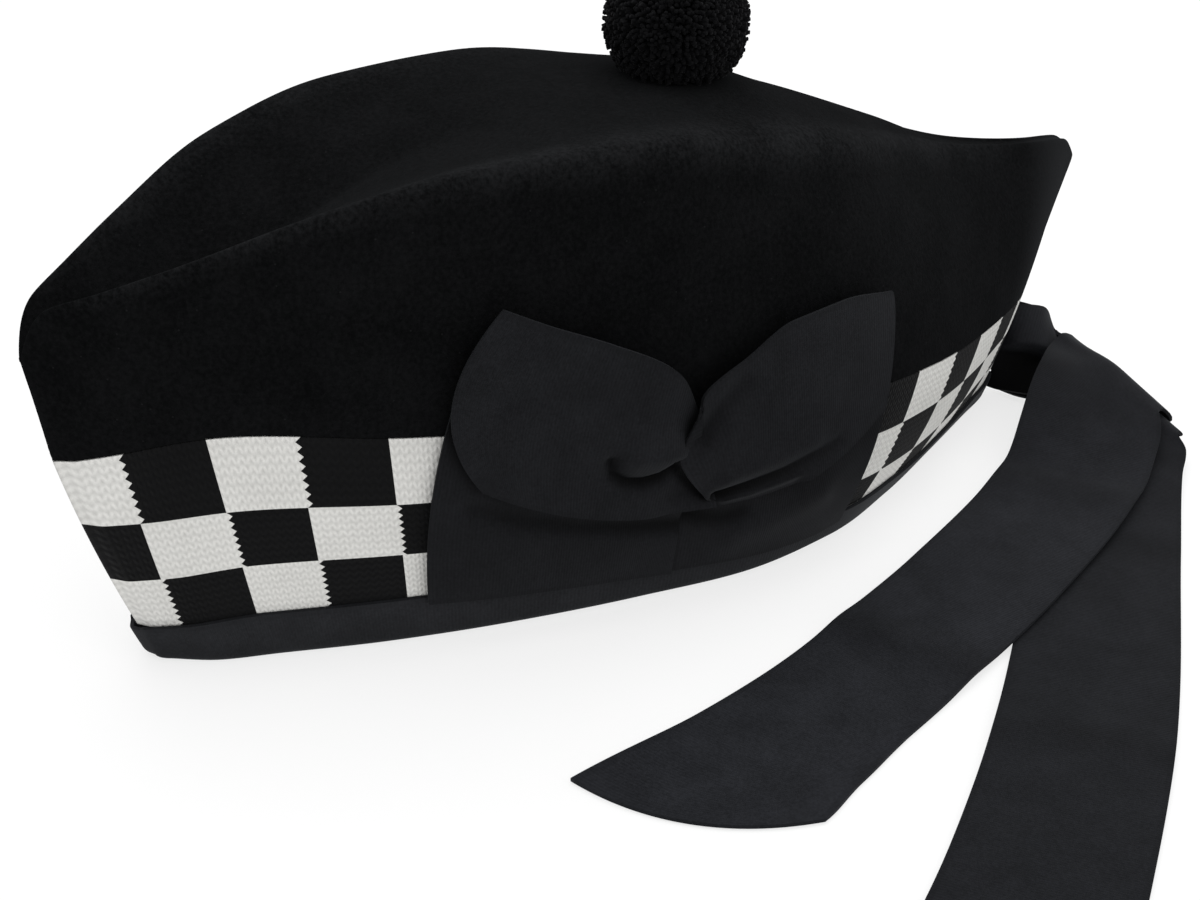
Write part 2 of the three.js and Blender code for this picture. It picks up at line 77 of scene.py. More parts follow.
# %% [markdown]
# The table is a pale plane, made from a grid of one face. It lies a hair below the rim, so that the
# ribbons on it do not flicker with it.

# %% Table
TABLE_DROP = 0.2 * MM
TABLE_SIZE = 6.0

table_mesh = bpy.data.meshes.new("table")
table_bm = bmesh.new()
bmesh.ops.create_grid(table_bm, x_segments=1, y_segments=1, size=TABLE_SIZE / 2)
bmesh.ops.translate(table_bm, verts=table_bm.verts, vec=(0, 0, -TABLE_DROP))
table_bm.to_mesh(table_mesh)
table_bm.free()
table = bpy.data.objects.new("table", table_mesh)
bpy.context.collection.objects.link(table)
print("table:", TABLE_SIZE, "m wide")

# %% [markdown]
# The light is soft. A bright room all round could do alone, but then the folds of black cloth would
# hardly show. So a wide lamp hangs overhead and a weaker one stands on the rosette's side.

# %% Light
LAMP_AIM = Vector((0.0, 0.0, 0.05))
LAMPS = [
    dict(name="overhead", place=Vector((-0.15, 0.05, 1.25)), size=1.0, power=7.0),
    dict(name="side_fill", place=Vector((1.1, 0.1, 0.8)), size=0.9, power=3.0),
]
ROOM_STRENGTH = 1.1


def soft_lamp(name, place, size, power):
    data = bpy.data.lights.new(name, "AREA")
    data.size = size
    data.energy = power
    lamp = bpy.data.objects.new(name, data)
    lamp.location = place
    lamp.rotation_euler = (LAMP_AIM - place).to_track_quat("-Z", "Y").to_euler()
    bpy.context.collection.objects.link(lamp)


for lamp_values in LAMPS:
    soft_lamp(**lamp_values)

world = bpy.data.worlds.new("room")
bpy.context.scene.world = world
world.use_nodes = True
room = world.node_tree.nodes["Background"]
room.inputs["Color"].default_value = (1.0, 1.0, 1.0, 1.0)
room.inputs["Strength"].default_value = ROOM_STRENGTH
bpy.context.scene.view_settings.view_transform = "Standard"
print("lamps:", [item.name for item in bpy.data.lights])

# %% [markdown]
# The cap is described by sections from the front tip to the back tip, the same table as its solids. It
# could be sculpted, but a table keeps every measure in sight. A row says how far the rim, the belly and
# the ridge lie from the middle, how high the ridge and the crown's crease are, and how the crown arches.
# A second table says how far up the cloth the binding and the rows of checks end.

# %% Sections of the cap
SECTIONS = [
    dict(along=-1.00, rim=0, belly=0, ridge=0, ridge_high=81, crease_high=80.5, arch=1.0),
    dict(along=-0.985, rim=3.4, belly=4.8, ridge=2.8, ridge_high=91, crease_high=86, arch=1.0),
    dict(along=-0.97, rim=5, belly=7, ridge=4, ridge_high=94.5, crease_high=88, arch=1.0),
    dict(along=-0.90, rim=11.5, belly=15, ridge=11, ridge_high=99, crease_high=87, arch=1.0),
    dict(along=-0.80, rim=16.5, belly=23, ridge=20, ridge_high=105.3, crease_high=88, arch=1.1),
    dict(along=-0.62, rim=25.5, belly=34, ridge=33, ridge_high=115.5, crease_high=98, arch=1.1),
    dict(along=-0.40, rim=34, belly=43, ridge=41, ridge_high=121, crease_high=111, arch=1.2),
    dict(along=-0.15, rim=41, belly=49.5, ridge=45, ridge_high=120, crease_high=119.5, arch=1.5),
    dict(along=0.10, rim=45.5, belly=52, ridge=40, ridge_high=111.5, crease_high=119.5, arch=2.0),
    dict(along=0.30, rim=42.5, belly=50, ridge=31, ridge_high=103.5, crease_high=109, arch=2.0),
    dict(along=0.50, rim=33, belly=41, ridge=15, ridge_high=92.5, crease_high=96, arch=2.0),
    dict(along=0.70, rim=20.5, belly=28, ridge=4.5, ridge_high=82.5, crease_high=82.2, arch=1.6),
    dict(along=0.87, rim=9.5, belly=15, ridge=2.5, ridge_high=77.5, crease_high=77.2, arch=1.2),
    dict(along=0.96, rim=3.8, belly=7, ridge=2, ridge_high=76, crease_high=75.8, arch=1.0),
    dict(along=1.00, rim=0, belly=0, ridge=0, ridge_high=69, crease_high=69, arch=1.0),
]
EDGES = [
    dict(along=-1.00, bound=10, row_two=25, row_three=42, diced=60),
    dict(along=-0.80, bound=14.3, row_two=29.7, row_three=46, diced=66),
    dict(along=-0.55, bound=13.7, row_two=27.4, row_three=42.4, diced=60.8),
    dict(along=0.10, bound=10, row_two=20, row_three=34.5, diced=50),
    dict(along=0.60, bound=7.2, row_two=15, row_three=28.6, diced=41),
    dict(along=1.00, bound=6.5, row_two=13.5, row_three=24, diced=34.5),
]
print("sections:", len(SECTIONS), "edges:", len(EDGES))

# %% [markdown]
# A smooth curve runs through each column, so any place between two sections can be asked for. At each
# row its slope is taken from both neighbours, and is level at a highest or lowest row, so the curve
# never swings past the values of the table.

# %% Curves through the sections
def lerp(start, end, share):
    return start + (end - start) * share


def smooth_share(value, start, end):
    share = min(max((value - start) / (end - start), 0.0), 1.0)
    return share * share * (3.0 - 2.0 * share)


def track(rows, place, column):
    at = [row[place] for row in rows]
    to = [row[column] for row in rows]
    chord = [(to[i + 1] - to[i]) / (at[i + 1] - at[i]) for i in range(len(at) - 1)]
    slope = [chord[0]]
    for before, after in zip(chord, chord[1:]):
        slope.append(0.0 if before * after <= 0 else 2 * before * after / (before + after))
    slope.append(chord[-1])

    def value_at(value):
        i = min(max(bisect.bisect_right(at, value) - 1, 0), len(at) - 2)
        step = at[i + 1] - at[i]
        share = min(max((value - at[i]) / step, 0.0), 1.0)
        rise = to[i + 1] - to[i]
        start_bend = slope[i] * step - rise
        end_bend = rise - slope[i + 1] * step
        bend = (1 - share) * start_bend + share * end_bend
        return to[i] + share * rise + share * (1 - share) * bend

    return value_at


section = {column: track(SECTIONS, "along", column) for column in SECTIONS[0] if column != "along"}
edge = {column: track(EDGES, "along", column) for column in EDGES[0] if column != "along"}
bound_top = edge["bound"]
diced_top = edge["diced"]
print("band in the middle, up the cloth:", round(bound_top(0.0), 1), "to", round(diced_top(0.0), 1), "mm")

# %% [markdown]
# Two short functions turn the table into surfaces: the side from the rim to the ridge, and the sunken
# crown between the ridges. A third finds the place a given distance up the cloth, by walking up the
# side in small steps as with a tape measure. They work in millimetres.

# %% Skins of the cap
RIM_HALF_LENGTH = 131.5
RIM_MIDDLE_Y = -1.0
RIDGE_HALF_LENGTH = 157.3
RIDGE_MIDDLE_Y = 2.3
FRONT_BOW = 2.5
LADDER_STEPS = 60


@functools.lru_cache(maxsize=None)
def section_at(along):
    return {column: curve(along) for column, curve in section.items()}


def side_skin(along, level):
    here = section_at(along)
    pull = 2 * here["belly"] - (here["rim"] + here["ridge"]) / 2
    down = 1 - level
    x = here["rim"] * down * down + 2 * pull * down * level + here["ridge"] * level * level
    rim_y = RIM_MIDDLE_Y + RIM_HALF_LENGTH * along
    ridge_y = RIDGE_MIDDLE_Y + RIDGE_HALF_LENGTH * along
    bow = min(along, 0.0) * FRONT_BOW
    y = lerp(rim_y, ridge_y, level) + 4 * bow * level * down
    return Vector((x, y, here["ridge_high"] * level))


def crown_skin(along, across):
    ridge = side_skin(along, 1.0)
    here = section_at(along)
    to_crease = 1 - abs(across) ** here["arch"]
    z = lerp(ridge.z, here["crease_high"], to_crease)
    return Vector((ridge.x * across, ridge.y, z))


@functools.lru_cache(maxsize=None)
def side_ladder(along):
    rungs = [0.0]
    previous = side_skin(along, 0.0)
    for i in range(1, LADDER_STEPS + 1):
        following = side_skin(along, i / LADDER_STEPS)
        rungs.append(rungs[-1] + (following - previous).length)
        previous = following
    return rungs


def level_at(along, distance):
    rungs = side_ladder(along)
    i = min(max(bisect.bisect_right(rungs, distance) - 1, 0), LADDER_STEPS - 1)
    share = (distance - rungs[i]) / (rungs[i + 1] - rungs[i])
    return min((i + share) / LADDER_STEPS, 1.0)


print("side at the middle, up the cloth:", round(side_ladder(0.0)[-1], 1), "mm")

# %% [markdown]
# Cloth pieces all start as a flat grid, like cloth on a cutting table. Each grid point knows its
# share along and across the piece, and a function carries it to its place on the cap. The UV map
# keeps the cloth's own measure, so weave and checks follow the cloth and not the room. A point may
# also keep a share of the wall's thickness, and a share of the shade that lies in a fold.

# %% A cut of cloth
def cut_cloth(steps_along, steps_across, place, measure, wall_share=None, shade=None):
    bm = bmesh.new()
    uv = bm.loops.layers.uv.new("UVMap")
    weights = bm.verts.layers.deform.new() if wall_share else None
    shaded = bm.verts.layers.float.new("fold_shade") if shade else None
    bmesh.ops.create_grid(bm, x_segments=steps_along, y_segments=steps_across, size=0.5)
    flat = {vert: (vert.co.x + 0.5, vert.co.y + 0.5) for vert in bm.verts}
    for face in bm.faces:
        for loop in face.loops:
            loop[uv].uv = measure(*flat[loop.vert])
    for vert, (share_along, share_across) in flat.items():
        vert.co = place(share_along, share_across) * MM
        if wall_share:
            vert[weights][0] = wall_share(share_along, share_across)
        if shade:
            vert[shaded] = shade(share_along, share_across)
    return bm, flat


def even_measure(length, width):
    return lambda share_along, share_across: (share_along * length, share_across * width)


print("cloth is cut as grids; 1 mm is", MM, "m")

# %% [markdown]
# Where a grid closes on itself, the double points along the seam are merged first.

# %% From a cut to a piece
SEAM_REACH = 0.02
SLIVER_REACH = 0.001


def finish_piece(bm, name, node, wall=None, wall_side=-1.0):
    mesh = bpy.data.meshes.new(name)
    has_wall_share = bm.verts.layers.deform.active is not None
    for border in bm.edges:
        border.smooth = not border.is_boundary
    bm.to_mesh(mesh)
    bm.free()
    mesh.shade_smooth()
    piece = bpy.data.objects.new(name, mesh)
    bpy.context.collection.objects.link(piece)
    if wall:
        solidify = piece.modifiers.new("cloth_thickness", "SOLIDIFY")
        solidify.thickness = wall * MM
        solidify.offset = wall_side
        if has_wall_share:
            piece.vertex_groups.new(name="wall_share")
            solidify.vertex_group = "wall_share"
    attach(piece, "root")
    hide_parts(node)
    print(name, "faces:", len(mesh.polygons))
    return piece


def close_seams(bm):
    bmesh.ops.remove_doubles(bm, verts=bm.verts, dist=SEAM_REACH * MM)
    bmesh.ops.dissolve_degenerate(bm, edges=bm.edges, dist=SLIVER_REACH * MM)
    bmesh.ops.recalc_face_normals(bm, faces=bm.faces)
    outward = sum(face.normal.x * face.calc_center_median().x for face in bm.faces)
    if outward < 0:
        bmesh.ops.reverse_faces(bm, faces=bm.faces)


print("seams closer than", SEAM_REACH, "mm are closed")

# %% [markdown]
# The felt body is one piece of cloth that climbs the left side, folds at the ridge, sinks into the
# crown and comes down the right side. Two halves could be joined, but one grid needs no seam on the
# crown. Its columns stand closer towards the two tips, where the sides meet and curve most. At the
# narrow ends the two folds lie close together, so the wall is thinned there and stays inside.

# %% Felt cut
SEAM_GAP = 0.3
RIDGE_SHARE = 0.36
EVEN_SHARE = 0.2
TIP_END = 1e-6
BODY_STEPS = (240, 150)
THIN_END = 0.06
THIN_AT_FRONT = (0.65, 0.92)
THIN_AT_BACK = (0.30, 0.62)
THIN_UPWARDS = (0.06, 0.26)


def station(share):
    return lerp(-math.cos(math.pi * share), 2 * share - 1, EVEN_SHARE)


def felt_place(share_along, share_across):
    along = station(share_along)
    mirrored = share_across > 0.5
    share = 1 - share_across if mirrored else share_across
    at_tip = min(share_along, 1 - share_along) < TIP_END
    if share <= RIDGE_SHARE or at_tip:
        foot = level_at(along, diced_top(along) + SEAM_GAP)
        point = side_skin(along, lerp(foot, 1.0, min(share / RIDGE_SHARE, 1.0)))
    else:
        across = 1 - (share - RIDGE_SHARE) / (0.5 - RIDGE_SHARE)
        point = crown_skin(along, across)
    return Vector((-point.x if mirrored else point.x, point.y, point.z))


def felt_wall(share_along, share_across):
    along = station(share_along)
    narrow = max(smooth_share(-along, *THIN_AT_FRONT), smooth_share(along, *THIN_AT_BACK))
    upper = smooth_share(min(share_across, 1 - share_across), *THIN_UPWARDS)
    return lerp(1.0, THIN_END, narrow * upper)


body_bm, body_flat = cut_cloth(*BODY_STEPS, felt_place, even_measure(1.0, 1.0), felt_wall)
close_seams(body_bm)
body_flat = {vert: shares for vert, shares in body_flat.items() if vert.is_valid}
print("felt points:", len(body_flat))

# %% [markdown]
# A felted fold is round, not sharp. A bevel would leave a strip of even width; smoothing the points
# near the ridges rounds the cloth the way steam and wear do. Smoothing sinks a ridge, so its line is
# lifted a little first. The two tips are smoothed too, less and less down towards the band.

# %% Felt body
WOOL_WALL = 2.5
RIDGE_LINE = 0.02
RIDGE_ROUNDING = 0.07
ROUNDING_TURNS = 24
ROUNDING_LIFT = 1.3
TIP_ROUNDING = 0.05
TIP_ROUNDING_UP = 0.75


def from_ridge(share_across):
    return abs(min(share_across, 1 - share_across) - RIDGE_SHARE)


def rounding_turns(share_along, share_across):
    if from_ridge(share_across) < RIDGE_ROUNDING:
        return ROUNDING_TURNS
    if min(share_along, 1 - share_along) > TIP_ROUNDING:
        return 0
    up = min(share_across, 1 - share_across)
    return ROUNDING_TURNS * smooth_share(up, 0.0, RIDGE_SHARE * TIP_ROUNDING_UP)


def smooth_points(bm, verts):
    bmesh.ops.smooth_vert(
        bm, verts=verts, factor=0.5, use_axis_x=True, use_axis_y=True, use_axis_z=True
    )


ridge_lines = [
    vert for vert, (share_along, share_across) in body_flat.items()
    if from_ridge(share_across) < RIDGE_LINE and min(share_along, 1 - share_along) > TIP_ROUNDING
]
bmesh.ops.translate(body_bm, verts=ridge_lines, vec=(0, 0, ROUNDING_LIFT * MM))
turns = {vert: rounding_turns(*shares) for vert, shares in body_flat.items()}
for turn in range(ROUNDING_TURNS):
    smooth_points(body_bm, [vert for vert, count in turns.items() if count > turn])
felt_body = finish_piece(body_bm, "felt_body", "wool_body", wall=WOOL_WALL)

# %% [markdown]
# The band is knitted in three rows of checks, which are counted and not measured. The columns of checks
# lean a little towards the back, so where each begins is given at the foot and at the top of the band.

# %% Checks of the band
CHECKS = [
    dict(number=-0.5, foot=-1.0, top=-1.0),
    dict(number=0, foot=-0.946, top=-0.935),
    dict(number=1, foot=-0.825, top=-0.823),
    dict(number=2, foot=-0.713, top=-0.710),
    dict(number=3, foot=-0.581, top=-0.581),
    dict(number=11, foot=0.377, top=0.454),
    dict(number=12, foot=0.500, top=0.594),
    dict(number=13, foot=0.620, top=0.711),
    dict(number=14, foot=0.750, top=0.821),
    dict(number=15, foot=0.880, top=0.920),
    dict(number=15.5, foot=1.0, top=1.0),
]
CHECK_ROWS = 3
CHECKS_ROUND = 31


def straight(rows, place, column, value):
    at = [row[place] for row in rows]
    i = min(max(bisect.bisect_right(at, value) - 1, 0), len(rows) - 2)
    low, high = rows[i], rows[i + 1]
    return lerp(low[column], high[column], (value - low[place]) / (high[place] - low[place]))


print("checks round the band:", CHECKS_ROUND, "in rows:", CHECK_ROWS)

# %% [markdown]
# Each check could be a face of its own, but then the knit would be cut up. So the band is one smooth
# piece that goes round the cap, and its UV map holds the number of the check along the band and its
# row. The finish makes the pattern from those two numbers.

# %% Diced band
BAND_WALL = 2.2
BAND_FOOT = 1.2
BAND_STEPS = (480, 40)


def round_the_cap(share):
    on_left = share <= 0.5
    half = 2 * share if on_left else 2 * (1 - share)
    return station(half), 1.0 if on_left else -1.0


def band_height(along, share):
    return lerp(BAND_FOOT, diced_top(along), share)


def band_place(share_round, share_up):
    along, side = round_the_cap(share_round)
    point = side_skin(along, level_at(along, band_height(along, share_up)))
    return Vector((side * point.x, point.y, point.z))


def band_measure(share_round, share_up):
    along, side = round_the_cap(share_round)
    height = band_height(along, share_up)
    rows = [
        dict(height=edge[name](along), row=row)
        for row, name in enumerate(("bound", "row_two", "row_three", "diced"))
    ]
    row = straight(rows, "height", "row", height)
    leaning = [
        dict(along=lerp(check["foot"], check["top"], row / CHECK_ROWS), number=check["number"])
        for check in CHECKS
    ]
    number = straight(leaning, "along", "number", along)
    return (number if side > 0 else CHECKS_ROUND - number), row


band_bm, _ = cut_cloth(*BAND_STEPS, band_place, band_measure)
close_seams(band_bm)
diced_knit = finish_piece(band_bm, "diced_knit", "diced_band", wall=BAND_WALL)

# %% [markdown]
# The binding is a ribbon folded round the raw lower edge: a leaf outside, a flat foot, a leaf inside.
# It could be a profile swept round the rim, but a grid keeps the ribbon's own measure. Its corners are
# walked from the outer top edge to the inner top edge, and each says how far it lies inside the skin
# and how far up it climbs. At the two ends of the cap the sharp turn is smoothed a little.

# %% Rim binding
BINDING_LEAF = 0.9
BINDING_STEPS = (480, 26)
BINDING_CORNERS = [
    dict(share=0.0, wall=-1.2, climb=1.0),
    dict(share=0.40, wall=-1.2, climb=0.05),
    dict(share=0.43, wall=-0.8, climb=0.0),
    dict(share=0.57, wall=3.0, climb=0.0),
    dict(share=0.60, wall=3.4, climb=0.05),
    dict(share=1.0, wall=3.4, climb=1.0),
]
RIM_ROUND = 570.0
BINDING_WIDTH = 25.0
BINDING_END = 0.012
BINDING_END_TURNS = 5
CAP_HALF_WIDTH = 46.0
END_WALL_RATIO = 1.8


def inward(point, wall):
    across = 1 - wall / CAP_HALF_WIDTH
    lengthways = 1 - wall * END_WALL_RATIO / RIM_HALF_LENGTH
    return Vector((point.x * across, point.y * lengthways, point.z))


def binding_place(share_round, share_across):
    along, side = round_the_cap(share_round)
    wall = straight(BINDING_CORNERS, "share", "wall", share_across)
    climb = straight(BINDING_CORNERS, "share", "climb", share_across)
    point = inward(side_skin(along, level_at(along, climb * bound_top(along))), wall)
    return Vector((side * point.x, point.y, point.z))


binding_bm, binding_flat = cut_cloth(
    *BINDING_STEPS, binding_place, even_measure(RIM_ROUND, BINDING_WIDTH)
)
close_seams(binding_bm)
binding_ends = [
    vert for vert, (share_round, _) in binding_flat.items()
    if vert.is_valid and min(share_round, 1 - share_round, abs(share_round - 0.5)) < BINDING_END
]
for turn in range(BINDING_END_TURNS):
    smooth_points(binding_bm, binding_ends)
binding_ribbon = finish_piece(binding_bm, "binding_ribbon", "rim_binding", wall=BINDING_LEAF)

# %% [markdown]
# Each rosette wing is a ribbon end, gathered where it is stitched and puffed off the cap. It could be
# draped by a cloth simulation, but then its outline would be left to chance. So ribs from the stitches
# to the free end give its two edges, in millimetres from the middle of the rosette, and its lift.

# %% Rosette ribs
RIB_COLUMNS = ("out", "top_side", "top_up", "low_side", "low_up", "lift", "bow")


def ribs(*rows):
    return [dict(zip(RIB_COLUMNS, row)) for row in rows]


WINGS = [
    dict(name="rosette_lower_left", length=66.0, pleat=0.1, skew=1.0, ribs=ribs(
        (0.00, -5, 3, -6, -25, 3.3, 0),
        (0.25, -16, 9, -18, -24, 3, 0),
        (0.50, -32, 13, -34, -23, 2.9, 0),
        (0.75, -48, 16, -51, -22.2, 2.7, 0),
        (1.00, -61, 36, -70.7, -21, 2.3, 2.5),
    )),
    dict(name="rosette_lower_right", length=60.0, pleat=0.1, skew=1.0, ribs=ribs(
        (0.00, -9, 2, -10, -25, 2, 0),
        (0.25, 9, 3, 9, -25.8, 2.3, 0),
        (0.50, 25, 4.5, 25, -26.4, 2.6, 0),
        (0.75, 41, 8, 39, -26.6, 2.7, 0),
        (1.00, 55.6, 14, 50, -25.5, 2.5, 1.5),
    )),
    dict(name="rosette_upper_left", length=66.0, pleat=0.4, skew=1.0, ribs=ribs(
        (0.00, -1, 14, 3, -5, 4.9, 0),
        (0.12, -5, 24, -8, -4, 4.9, 0),
        (0.25, -11, 35, -19, -2, 6.8, 0),
        (0.50, -27, 46, -36, 3, 7.5, 2),
        (0.75, -41, 53, -50, 9, 6.5, 5),
        (1.00, -50, 58, -57, 13, 5.5, 9),
    )),
    dict(name="rosette_upper_right", length=60.0, pleat=0.3, skew=0.5, ribs=ribs(
        (0.00, -4, 17, 1.5, -3.5, 7.2, -7),
        (0.10, -5, 26.5, 4.5, -5, 7.1, 0),
        (0.25, 6, 34, 12, -5, 7, 0),
        (0.50, 20, 40, 25, -3.8, 7, 0),
        (0.75, 35, 40.5, 39, 1, 6.5, 0),
        (1.00, 52, 38, 52.5, 9, 5.5, 1),
    )),
]
print("wings:", [wing["name"] for wing in WINGS])

# %% [markdown]
# A fold near the stitches is a soft ridge along a path on the wing, and it may fade towards the end of
# its path. A negative height makes a hollow. A hollow in black ribbon lies in shade, so each row also
# says how much, and each point of a wing keeps its share of that shade for the ribbon's finish. A row
# without height is the shade of a whole lower wing, which lies under the upper one.

# %% Rosette folds
FOLD_COLUMNS = ("width", "height", "fade", "shade", "path")


def folds(*rows):
    return [dict(zip(FOLD_COLUMNS, row)) for row in rows]


FOLDS = {
    "rosette_upper_left": folds(
        (4.2, 2.2, 1.0, 0.0, [(-10, 14.5), (-20, 16)]),
        (1.8, -2.7, 0.8, 0.9, [
            (-10.5, 10.5), (-14, 8.3), (-18.6, 8), (-23.2, 9.5), (-26.3, 12.4), (-27, 16),
        ]),
        (1.6, -0.6, 1.0, 0.8, [(-11, 10.5), (-5.5, 5), (0, -1)]),
    ),
    "rosette_upper_right": folds(
        (3.0, 1.2, 0.6, 0.0, [(4, 4.5), (13, 6), (28, 9)]),
        (2.2, -3.4, 0.3, 0.95, [(2, -1.6), (9.4, -0.6), (20.7, 1.1), (27.6, 3.1), (35.6, 4.8)]),
        (2.6, -2.8, 0.7, 0.0, [(1.5, -4), (4.5, -5), (12, -5), (25, -3.8)]),
        (3.4, -1.6, 0.6, 0.45, [(-3.2, 16.6), (-0.9, 20.5), (2.2, 24.4), (5.5, 27.4)]),
    ),
    "rosette_lower_left": folds(
        (3.4, -1.2, 0.5, 0.9, [(-5, -9.5), (-19, -7), (-33, -4), (-47, 1), (-58, 6)]),
        (30.0, 0.0, 1.0, 0.2, [(-60, 0), (0, 0)]),
    ),
    "rosette_lower_right": folds(
        (3.6, -0.9, 0.8, 0.95, [(-4, -7), (1, -9.5), (7, -11), (12, -10.5)]),
        (30.0, 0.0, 1.0, 0.26, [(0, 0), (50, 0)]),
        (5.0, 0.8, 1.0, 0.0, [(12, -18), (38, -12)]),
    ),
}


def near_path(path, side, up):
    here = Vector((side, up))
    found = []
    for i, (start, end) in enumerate(zip(path, path[1:])):
        start = Vector(start)
        run = Vector(end) - start
        share = min(max((here - start).dot(run) / run.length_squared, 0.0), 1.0)
        found.append(((here - start - run * share).length, (i + share) / (len(path) - 1)))
    return min(found)


def fold_share(fold, side, up):
    away, share = near_path(fold["path"], side, up)
    return math.exp(-(away / fold["width"]) ** 2) * lerp(1.0, fold["fade"], share)


print("folds:", {name: len(rows) for name, rows in FOLDS.items()})

# %% [markdown]
# Now each wing is cut, carried to its place between its ribs, and lifted or hollowed by its folds. Of
# the folds at a point only the highest and the deepest count, so that crossing folds do not add up.

# %% Rosette wings
RIBBON_WIDTH = 39.0
RIBBON_THICK = 0.9
ROSETTE_ALONG = -0.061
ROSETTE_UP = 34.0
SIDE_SPAN = 145.0
PLEATS = 2
SKIN_STEP = 0.01
WING_STEPS = (64, 56)


def on_side(along, up, lift):
    level = level_at(along, up)
    lengthways = side_skin(along + SKIN_STEP, level) - side_skin(along - SKIN_STEP, level)
    upwards = side_skin(along, level + SKIN_STEP) - side_skin(along, level - SKIN_STEP)
    return side_skin(along, level) + lengthways.cross(upwards).normalized() * lift


def wing_shape(wing):
    rib = {column: track(wing["ribs"], "out", column) for column in RIB_COLUMNS[1:]}
    outward = math.copysign(1.0, wing["ribs"][-1]["top_side"])
    wing_folds = FOLDS[wing["name"]]

    def spot(out, share):
        skewed = share ** wing["skew"]
        bulge = outward * rib["bow"](out) * 4 * skewed * (1 - skewed)
        side = lerp(rib["top_side"](out), rib["low_side"](out), share) + bulge
        return side, lerp(rib["top_up"](out), rib["low_up"](out), share)

    def place(out, share):
        side, up = spot(out, share)
        pleat = wing["pleat"] * (1 - out) * math.cos(2 * math.pi * PLEATS * share)
        rises = [fold["height"] * fold_share(fold, side, up) for fold in wing_folds]
        lift = rib["lift"](out) + pleat + max(0.0, *rises) + min(0.0, *rises)
        return on_side(ROSETTE_ALONG + side / SIDE_SPAN, ROSETTE_UP + up, lift)

    def shade(out, share):
        side, up = spot(out, share)
        return max(fold["shade"] * fold_share(fold, side, up) for fold in wing_folds)

    return place, shade


rosette = []
for wing in WINGS:
    place, shade = wing_shape(wing)
    measure = even_measure(wing["length"], RIBBON_WIDTH)
    wing_bm, _ = cut_cloth(*WING_STEPS, place, measure, shade=shade)
    bmesh.ops.recalc_face_normals(wing_bm, faces=wing_bm.faces)
    piece = finish_piece(
        wing_bm, wing["name"] + "_ribbon", wing["name"], wall=RIBBON_THICK, wall_side=0.0
    )
    rosette.append(piece)

# %% [markdown]
# The tails are two ribbons sewn to the back seam. They fold over behind the cap and lie along the
# table. A curve with a flat bevel could draw them, but it twists badly in a fold. So each tail is a row
# of cross lines, from the seam to the cut end: how far along the ribbon, where the middle of the line
# is, which way it turns, how far it tilts, how wide it is and how it bows.

# %% Lines of the tails
TAIL_COLUMNS = ("run", "x", "y", "z", "turn", "tilt", "span", "bow")


def cross_lines(*rows):
    return [dict(zip(TAIL_COLUMNS, row)) for row in rows]


TAILS = [
    dict(name="tail_upper", lines=cross_lines(
        (0, -0.7, 141.5, 14.5, -90, -68, 27, 0),
        (14, 5, 149.6, 8.2, -45, -28, 31, 0),
        (28, 23, 154.5, 8, -10, -18, 44, 0),
        (34, 30, 158, 11, -4, -14, 46, 0),
        (40, 30.5, 152.5, 15.8, -3, -13, 45.5, 0),
        (58, 38, 141, 13, 14, -9, 41, 0),
        (80, 48.5, 127, 8.5, 32, -4, 39, 0),
        (100, 60, 110, 4, 33, 0, 38.5, 0),
        (160, 85, 54, 2.3, 24, 0, 38.5, 0),
        (180, 92, 35, 2, 21, 0, 38.5, 0),
        (222, 104.5, -4, 0.7, 14, 0, 39, 0),
        (250, 112, -30, 0.7, 24, 0, 43, 2),
        (278, 117.5, -56, 0.7, 43, 0, 56, 8),
    )),
    dict(name="tail_lower", lines=cross_lines(
        (0, 0.7, 139.45, 14.5, -90, -68, 27, 0),
        (14, 8, 148.6, 10.6, -45, -28, 31, 0),
        (27, 26.5, 152.6, 9.2, -7, -17, 43, 0),
        (33, 35.5, 155.5, 9.3, -2, -14, 47, 0),
        (38, 36, 152.3, 11.5, -1, -13, 47, 0),
        (56, 47, 140, 7, 22, -8, 42, 0),
        (76, 59, 126, 3, 40, -2, 39, 0),
        (120, 89, 94, 0.7, 44, 0, 38.5, 0),
        (200, 143, 34, 0.7, 40, 0, 40, 0),
        (250, 175, -8, 0.7, 35, 0, 41, 0),
        (276, 190, -30, 0.7, 42, 0, 43, 2),
        (300, 202, -50, 0.7, 64, 0, 55, 7),
    )),
]
print("tails:", {tail["name"]: len(tail["lines"]) for tail in TAILS}, "lines")

# %% [markdown]
# At the seam the lower tail, which is the nearer one, has a small fold: its upper half leans out and
# hangs like a lip over the lower half, which lies in its shade. Both roots are also moved towards the
# seam, a little more at the knitted band than at the binding below it, so that no gap shows there.

# %% Roots of the tails
ROOT_LIP = (0.47, 0.55)
ROOT_HELD = (0.0, 3.0)
ROOT_RELEASED = (15.0, 22.0)
ROOT_LEAN = Vector((0.80, -0.30, 0.52)) * 5.5
ROOT_SHADE = 0.92
SEAM_RUN = (0.0, 2.0)
SEAM_SHADE = 0.7
SEAT_AT_BINDING = 2.0
SEAT_AT_BAND = 4.0
SEAT_HEIGHTS = (6.5, 8.5)
SEAT_RUN = (0.0, 8.0)


def root_fold(run, share):
    held = smooth_share(run, *ROOT_HELD) * (1 - smooth_share(run, *ROOT_RELEASED))
    rise = min(share / ROOT_LIP[0], 1.0) * (1 - smooth_share(share, *ROOT_LIP))
    return ROOT_LEAN * held * rise


def root_shade(run, share):
    at_seam = SEAM_SHADE * (1 - smooth_share(run, *SEAM_RUN))
    near = 1 - smooth_share(run, *ROOT_RELEASED)
    return ROOT_SHADE * max(smooth_share(share, *ROOT_LIP), at_seam) * near


def root_seat(run, height):
    seat = lerp(SEAT_AT_BINDING, SEAT_AT_BAND, smooth_share(height, *SEAT_HEIGHTS))
    return seat * (1 - smooth_share(run, *SEAT_RUN))


